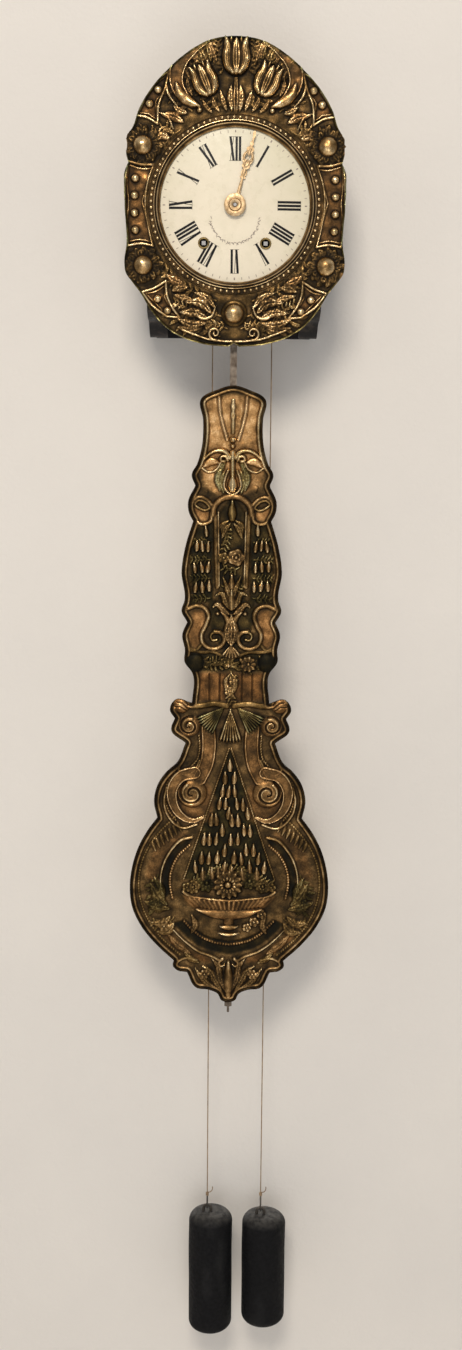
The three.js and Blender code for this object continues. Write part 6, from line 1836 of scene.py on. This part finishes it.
def make_minutes():
    solid = Solid()
    for minute in range(60):
        turn = FULL_TURN * minute / 60
        ends = [(0, MINUTE_INNER), (0, MINUTE_OUTER)]
        painted(solid, *moved(ends, (0, 0), turn), MINUTE_WIDTH * (2 if minute % 5 == 0 else 1))
    solid.piece("minute_strokes", FADED_INK, "case")


def make_garland():
    """A faint garland of small leaves under the dial's centre."""
    solid = Solid()
    random = np.random.default_rng(GARLAND_SEED)
    across, drop, half_height = GARLAND
    for i in range(GARLAND_LEAVES):
        angle = math.pi * (1 + (i + 0.5) / GARLAND_LEAVES)
        centre = np.array([across * math.cos(angle), drop + half_height * math.sin(angle)])
        for hand in (-1, 1):
            turn = angle + hand * (0.5 + random.random())
            foot, tip = (centre + share * GARLAND_LEAF * np.array([math.cos(turn), math.sin(turn)])
                         for share in (0.35, 0.8 + 0.5 * random.random()))
            painted(solid, foot, tip, THIN)
    solid.piece("dial_garland", FADED_INK, "case")


HAND_STEP = 0.45
HAND_TURN = 15.6 * DEG
HAND_RISE = 0.7
HAND_SEED = 3
HAND_RIGHT = [
    # across and along, of its right half
    (0, -9), (6.4, -6.4), (9, 0), (6.4, 6.4), (3.2, 10), (2.5, 30), (1.8, 50), (3.0, 55), (6.2, 58),
    (5.0, 62), (8.3, 68), (8.0, 76), (5.0, 81), (5.8, 85), (2.0, 89), (3.0, 93), (1.5, 97), (0.6, 112),
]
HAND_STROKES = [
    # form, width, height, tone, taper and points
    ("round", 2.0, 0.6, GOLD, "even", [(0, 12), (0, 54)]),
    ("round", 1.6, 0.7, GOLD, "even", [(5.6, 68), (6.0, 74), (3.4, 80)]),
    ("round", 1.6, 0.7, GOLD, "even", [(0, 58), (3.0, 64), (0, 72), (0, 84)]),
]
HAND_HOLE = [(2.0, 68), (4.2, 70), (4.0, 75), (2.0, 77)]


def make_minute_hand():
    """The stamped and pierced hand: a shaft, an openwork medallion and a fine tip."""
    low, high = reach("minute_hand")
    outline = HAND_RIGHT + mirrored(HAND_RIGHT[1:])[::-1]
    loops = [smooth(moved(outline, (0, 0), HAND_TURN), HAND_STEP, True, CORNER, PLATE_ROUND_CORNER)]
    for hole in (HAND_HOLE, mirrored(HAND_HOLE)):
        loops.append(smooth(moved(hole, (0, 0), HAND_TURN), HAND_STEP, True))
    relief = Relief(loops, HAND_STEP, HAND_SEED)
    for form, width, height, tone, taper, points in HAND_STROKES:
        for half in (points, mirrored(points)):
            relief.stroke(form, width, height, tone, taper, moved(half, (0, 0), HAND_TURN))
    back = low.z
    face = high.z - HAND_RISE
    made = stamped_sheet(
        "minute_hand_gilt", relief, face, back, [back] * len(loops), 0, "minute_train", "minute_hand", GOLD,
        material=SLOT_MATERIALS["bright_gilt"],
    )


make_numerals()
make_minute_hand()
make_minutes()
make_garland()


# Weights: cast cylinders with rounded ends and a staple in the top

WEIGHT_SIDES = 64
WEIGHT_STEPS = 24
WEIGHT_FILLET = 17.0
TOP_SHARES = (0.66, 0.33, 0.02)
CASTING_SCALE = 1 / 1.011
CASTING_WAVES = ((3, 31.0, 0.006), (5, -17.0, 0.004))
STAPLE_WIRE = 2.6
STAPLE_ARCH = 6.4
STAPLE_SIDES = 12
STAPLE_SPACING = 1.2
ARC_STEPS = 12


def arc(centre, radius, first, last, steps):
    """Points of an arc, from one angle to another."""
    angles = [first + (last - first) * i / steps for i in range(steps + 1)]
    return [(centre[0] + radius * math.cos(a), centre[1] + radius * math.sin(a)) for a in angles]


def casting(angle, along):
    """Slight unevenness of a rough casting, as a share of its radius."""
    return sum(share * math.sin(lobes * angle + along / length) for lobes, length, share in CASTING_WAVES)


def weight_profile(radius, bottom, top):
    """The (radius, height) points of a weight, from the middle of its foot to the middle of its top."""
    inner = radius - WEIGHT_FILLET
    foot = arc((inner, bottom + WEIGHT_FILLET), WEIGHT_FILLET, -math.pi / 2, 0, ARC_STEPS)
    head = arc((inner, top - WEIGHT_FILLET), WEIGHT_FILLET, 0, math.pi / 2, ARC_STEPS)
    low, high = foot[-1][1], head[0][1]
    side = [(radius, low + (high - low) * i / WEIGHT_STEPS) for i in range(1, WEIGHT_STEPS)]
    profile = [(TOP_SHARES[-1] * inner, bottom)] + foot + side + head
    profile += [(inner * share, top) for share in TOP_SHARES]
    return [(across * CASTING_SCALE, up) for across, up in profile]


def make_staple(node, body, across, top, out):
    """The bent wire that stands in a weight's top, over the place where its cord falls."""
    arch = arc((across, top + 2 * STAPLE_WIRE), STAPLE_ARCH, math.pi, 0, ARC_STEPS)
    foot = top - STAPLE_WIRE
    path = [(arch[0][0], foot)] + arch + [(arch[-1][0], foot)]
    path = smooth(path, STAPLE_SPACING, corner=CORNER)
    staple = Solid()
    staple.tube([(x, y, out) for x, y in path], STAPLE_WIRE, STAPLE_SIDES)
    made = staple.piece(node + "_staple", SLOT_MATERIALS["cage_iron"], body)


def make_weight(node, body, cord_across):
    low, high = reach(node)
    middle = (low + high) / 2
    top = high.y - STAPLE_ARCH - 3 * STAPLE_WIRE
    solid = Solid()
    solid.turned(middle, weight_profile((high.x - low.x) / 2, low.y, top), WEIGHT_SIDES, casting)
    piece = solid.piece(node + "_casting", SLOT_MATERIALS["black_iron"], body, node)
    make_staple(node, body, cord_across, top, middle.z)


for train in ("going", "strike"):
    across = (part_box(train + "_cord")[0].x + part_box(train + "_cord")[1].x) / 2 / MM
    make_weight(train + "_weight", train + "_load", across)


# Carried-over nodes: each gets its slot's material and rounded shading

BEVELLED = (
    "bracket", "cage", "going_front", "going_back", "strike_front", "strike_back", "door", "hook_left",
    "hook_right",
)
EDGE_BEVEL = 0.25 * MM


def dress_nodes():
    slots = {part["node"]: part["material_slot"] for part in frame["record"]["subparts"]}
    for name, node in frame["nodes"].items():
        material = SLOT_MATERIALS[slots[name]]
        node.data.materials.clear()
        node.data.materials.append(material)
        soften(node, EDGE_BEVEL if name.startswith(BEVELLED) else 0)


dress_nodes()


# Stage: a wall behind, a pale floor, and soft lamps in front of the wall and behind it

WALL_BACK = 0.0008
WALL_HALF = 3.0
FLOOR_DROP = 0.55
FLOOR_DEPTH = 4.0
LAMPS = [
    # name, place, size, power and colour
    ("key_lamp", (-0.3, -3.6, 2.0), 1.1, 104, (1.0, 0.93, 0.84)),
    ("low_lamp", (0.0, -3.2, -1.1), 1.6, 18, (0.93, 0.96, 1.0)),
    ("back_lamp", (0.9, 2.8, 0.1), 1.2, 60, (1.0, 0.97, 0.93)),
    ("back_low_lamp", (-1.2, 2.6, -0.9), 1.2, 35, (1.0, 0.98, 0.96)),
]
WORLD_LOW = (0.42, 0.43, 0.46)
WORLD_HIGH = (1.15, 1.19, 1.28)
WORLD_STRENGTH = 0.38
BACKDROP_COLOUR = (0.80, 0.77, 0.73)
LAMP_AIM = Vector((0, 0, -0.3))
PLASTER_PATCHES = 500 * MM
PLASTER_GRAIN, PLASTER_GRAIN_RISE = 7 * MM, 0.6 * MM
PLASTER_SWELL, PLASTER_SWELL_RISE = 40 * MM, 1.2 * MM


def stage_sheet(name, near, far, material):
    """A sheet of the stage, between two edges given as (y, z)."""
    corners = [(-WALL_HALF, *near), (WALL_HALF, *near), (WALL_HALF, *far), (-WALL_HALF, *far)]
    piece = new_piece(name, corners, [(0, 1, 2, 3)], material, smooth_faces=False)
    piece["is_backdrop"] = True


def plaster(name, light, dark, lets_light_by=False):
    """Painted plaster that only shows from its front, and may let the lamps behind it light the object."""
    made = Surface(name, roughness=0.85)
    patches = made.noise(PLASTER_PATCHES, 4)
    made.paint(Base_Color=made.ramp(made.mapped(patches, 0.3, 0.7), [(0, *dark), (1, *light)]))
    grain, swell = made.noise(PLASTER_GRAIN, 3), made.noise(PLASTER_SWELL, 3)
    made.bumps((grain, PLASTER_GRAIN_RISE), (swell, PLASTER_SWELL_RISE))
    back = made.add("ShaderNodeNewGeometry").outputs["Backfacing"]
    if lets_light_by:
        shadow = made.add("ShaderNodeLightPath").outputs["Is Shadow Ray"]
        back = made.add("ShaderNodeMath", {0: back, 1: shadow}, operation="MAXIMUM").outputs["Value"]
    clear = made.add("ShaderNodeBsdfTransparent")
    mix = made.add("ShaderNodeMixShader")
    made.tree.links.new(back, mix.inputs["Fac"])
    made.tree.links.new(made.shader.outputs["BSDF"], mix.inputs[1])
    made.tree.links.new(clear.outputs["BSDF"], mix.inputs[2])
    made.tree.links.new(mix.outputs["Shader"], made.tree.nodes["Material Output"].inputs["Surface"])
    return made.material


def make_stage():
    low, high = CAD_BOX
    floor = low.z - FLOOR_DROP
    top = high.z + WALL_HALF
    wall = plaster("wall_paint", (0.79, 0.74, 0.67), (0.73, 0.685, 0.625), lets_light_by=True)
    stage_sheet("wall", (WALL_BACK, floor), (WALL_BACK, top), wall)
    ground = plaster("floor_paint", (0.74, 0.71, 0.67), (0.68, 0.65, 0.61))
    stage_sheet("floor", (-FLOOR_DEPTH, floor), (FLOOR_DEPTH, floor), ground)


def make_lamps():
    for name, spot, size, power, colour in LAMPS:
        data = bpy.data.lights.new(name, "AREA")
        data.size = size
        data.energy = power
        data.color = colour
        lamp = bpy.data.objects.new(name, data)
        lamp.location = spot
        lamp.rotation_euler = (LAMP_AIM - Vector(spot)).to_track_quat("-Z", "Y").to_euler()
        bpy.context.scene.collection.objects.link(lamp)
    make_world()
    bpy.context.scene.view_settings.view_transform = "Standard"


def make_world():
    """Sky light, dimmer below and brighter above. The camera sees it as a pale backdrop where the stage
    doesn't reach.
    """
    world = bpy.data.worlds.new("world")
    world.use_nodes = True
    nodes, links = world.node_tree.nodes, world.node_tree.links
    sky = nodes["Background"]
    sky.inputs["Strength"].default_value = WORLD_STRENGTH
    backdrop = nodes.new("ShaderNodeBackground")
    backdrop.inputs["Color"].default_value = (*BACKDROP_COLOUR, 1)
    rays = nodes.new("ShaderNodeLightPath")
    mix = nodes.new("ShaderNodeMixShader")
    where = nodes.new("ShaderNodeTexCoord")
    split = nodes.new("ShaderNodeSeparateXYZ")
    level = nodes.new("ShaderNodeMapRange")
    level.inputs["From Min"].default_value = -1
    shade = nodes.new("ShaderNodeValToRGB")
    shade.color_ramp.elements[0].color = (*WORLD_LOW, 1)
    shade.color_ramp.elements[1].color = (*WORLD_HIGH, 1)
    links.new(where.outputs["Generated"], split.inputs["Vector"])
    links.new(split.outputs["Z"], level.inputs["Value"])
    links.new(level.outputs["Result"], shade.inputs["Fac"])
    links.new(shade.outputs["Color"], sky.inputs["Color"])
    links.new(rays.outputs["Is Camera Ray"], mix.inputs["Fac"])
    links.new(sky.outputs["Background"], mix.inputs[1])
    links.new(backdrop.outputs["Background"], mix.inputs[2])
    links.new(mix.outputs["Shader"], nodes["World Output"].inputs["Surface"])
    bpy.context.scene.world = world


make_stage()
make_lamps()

bpy.context.view_layer.update()
[[list(corner) for corner in box] for box in (CAD_BOX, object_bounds())]
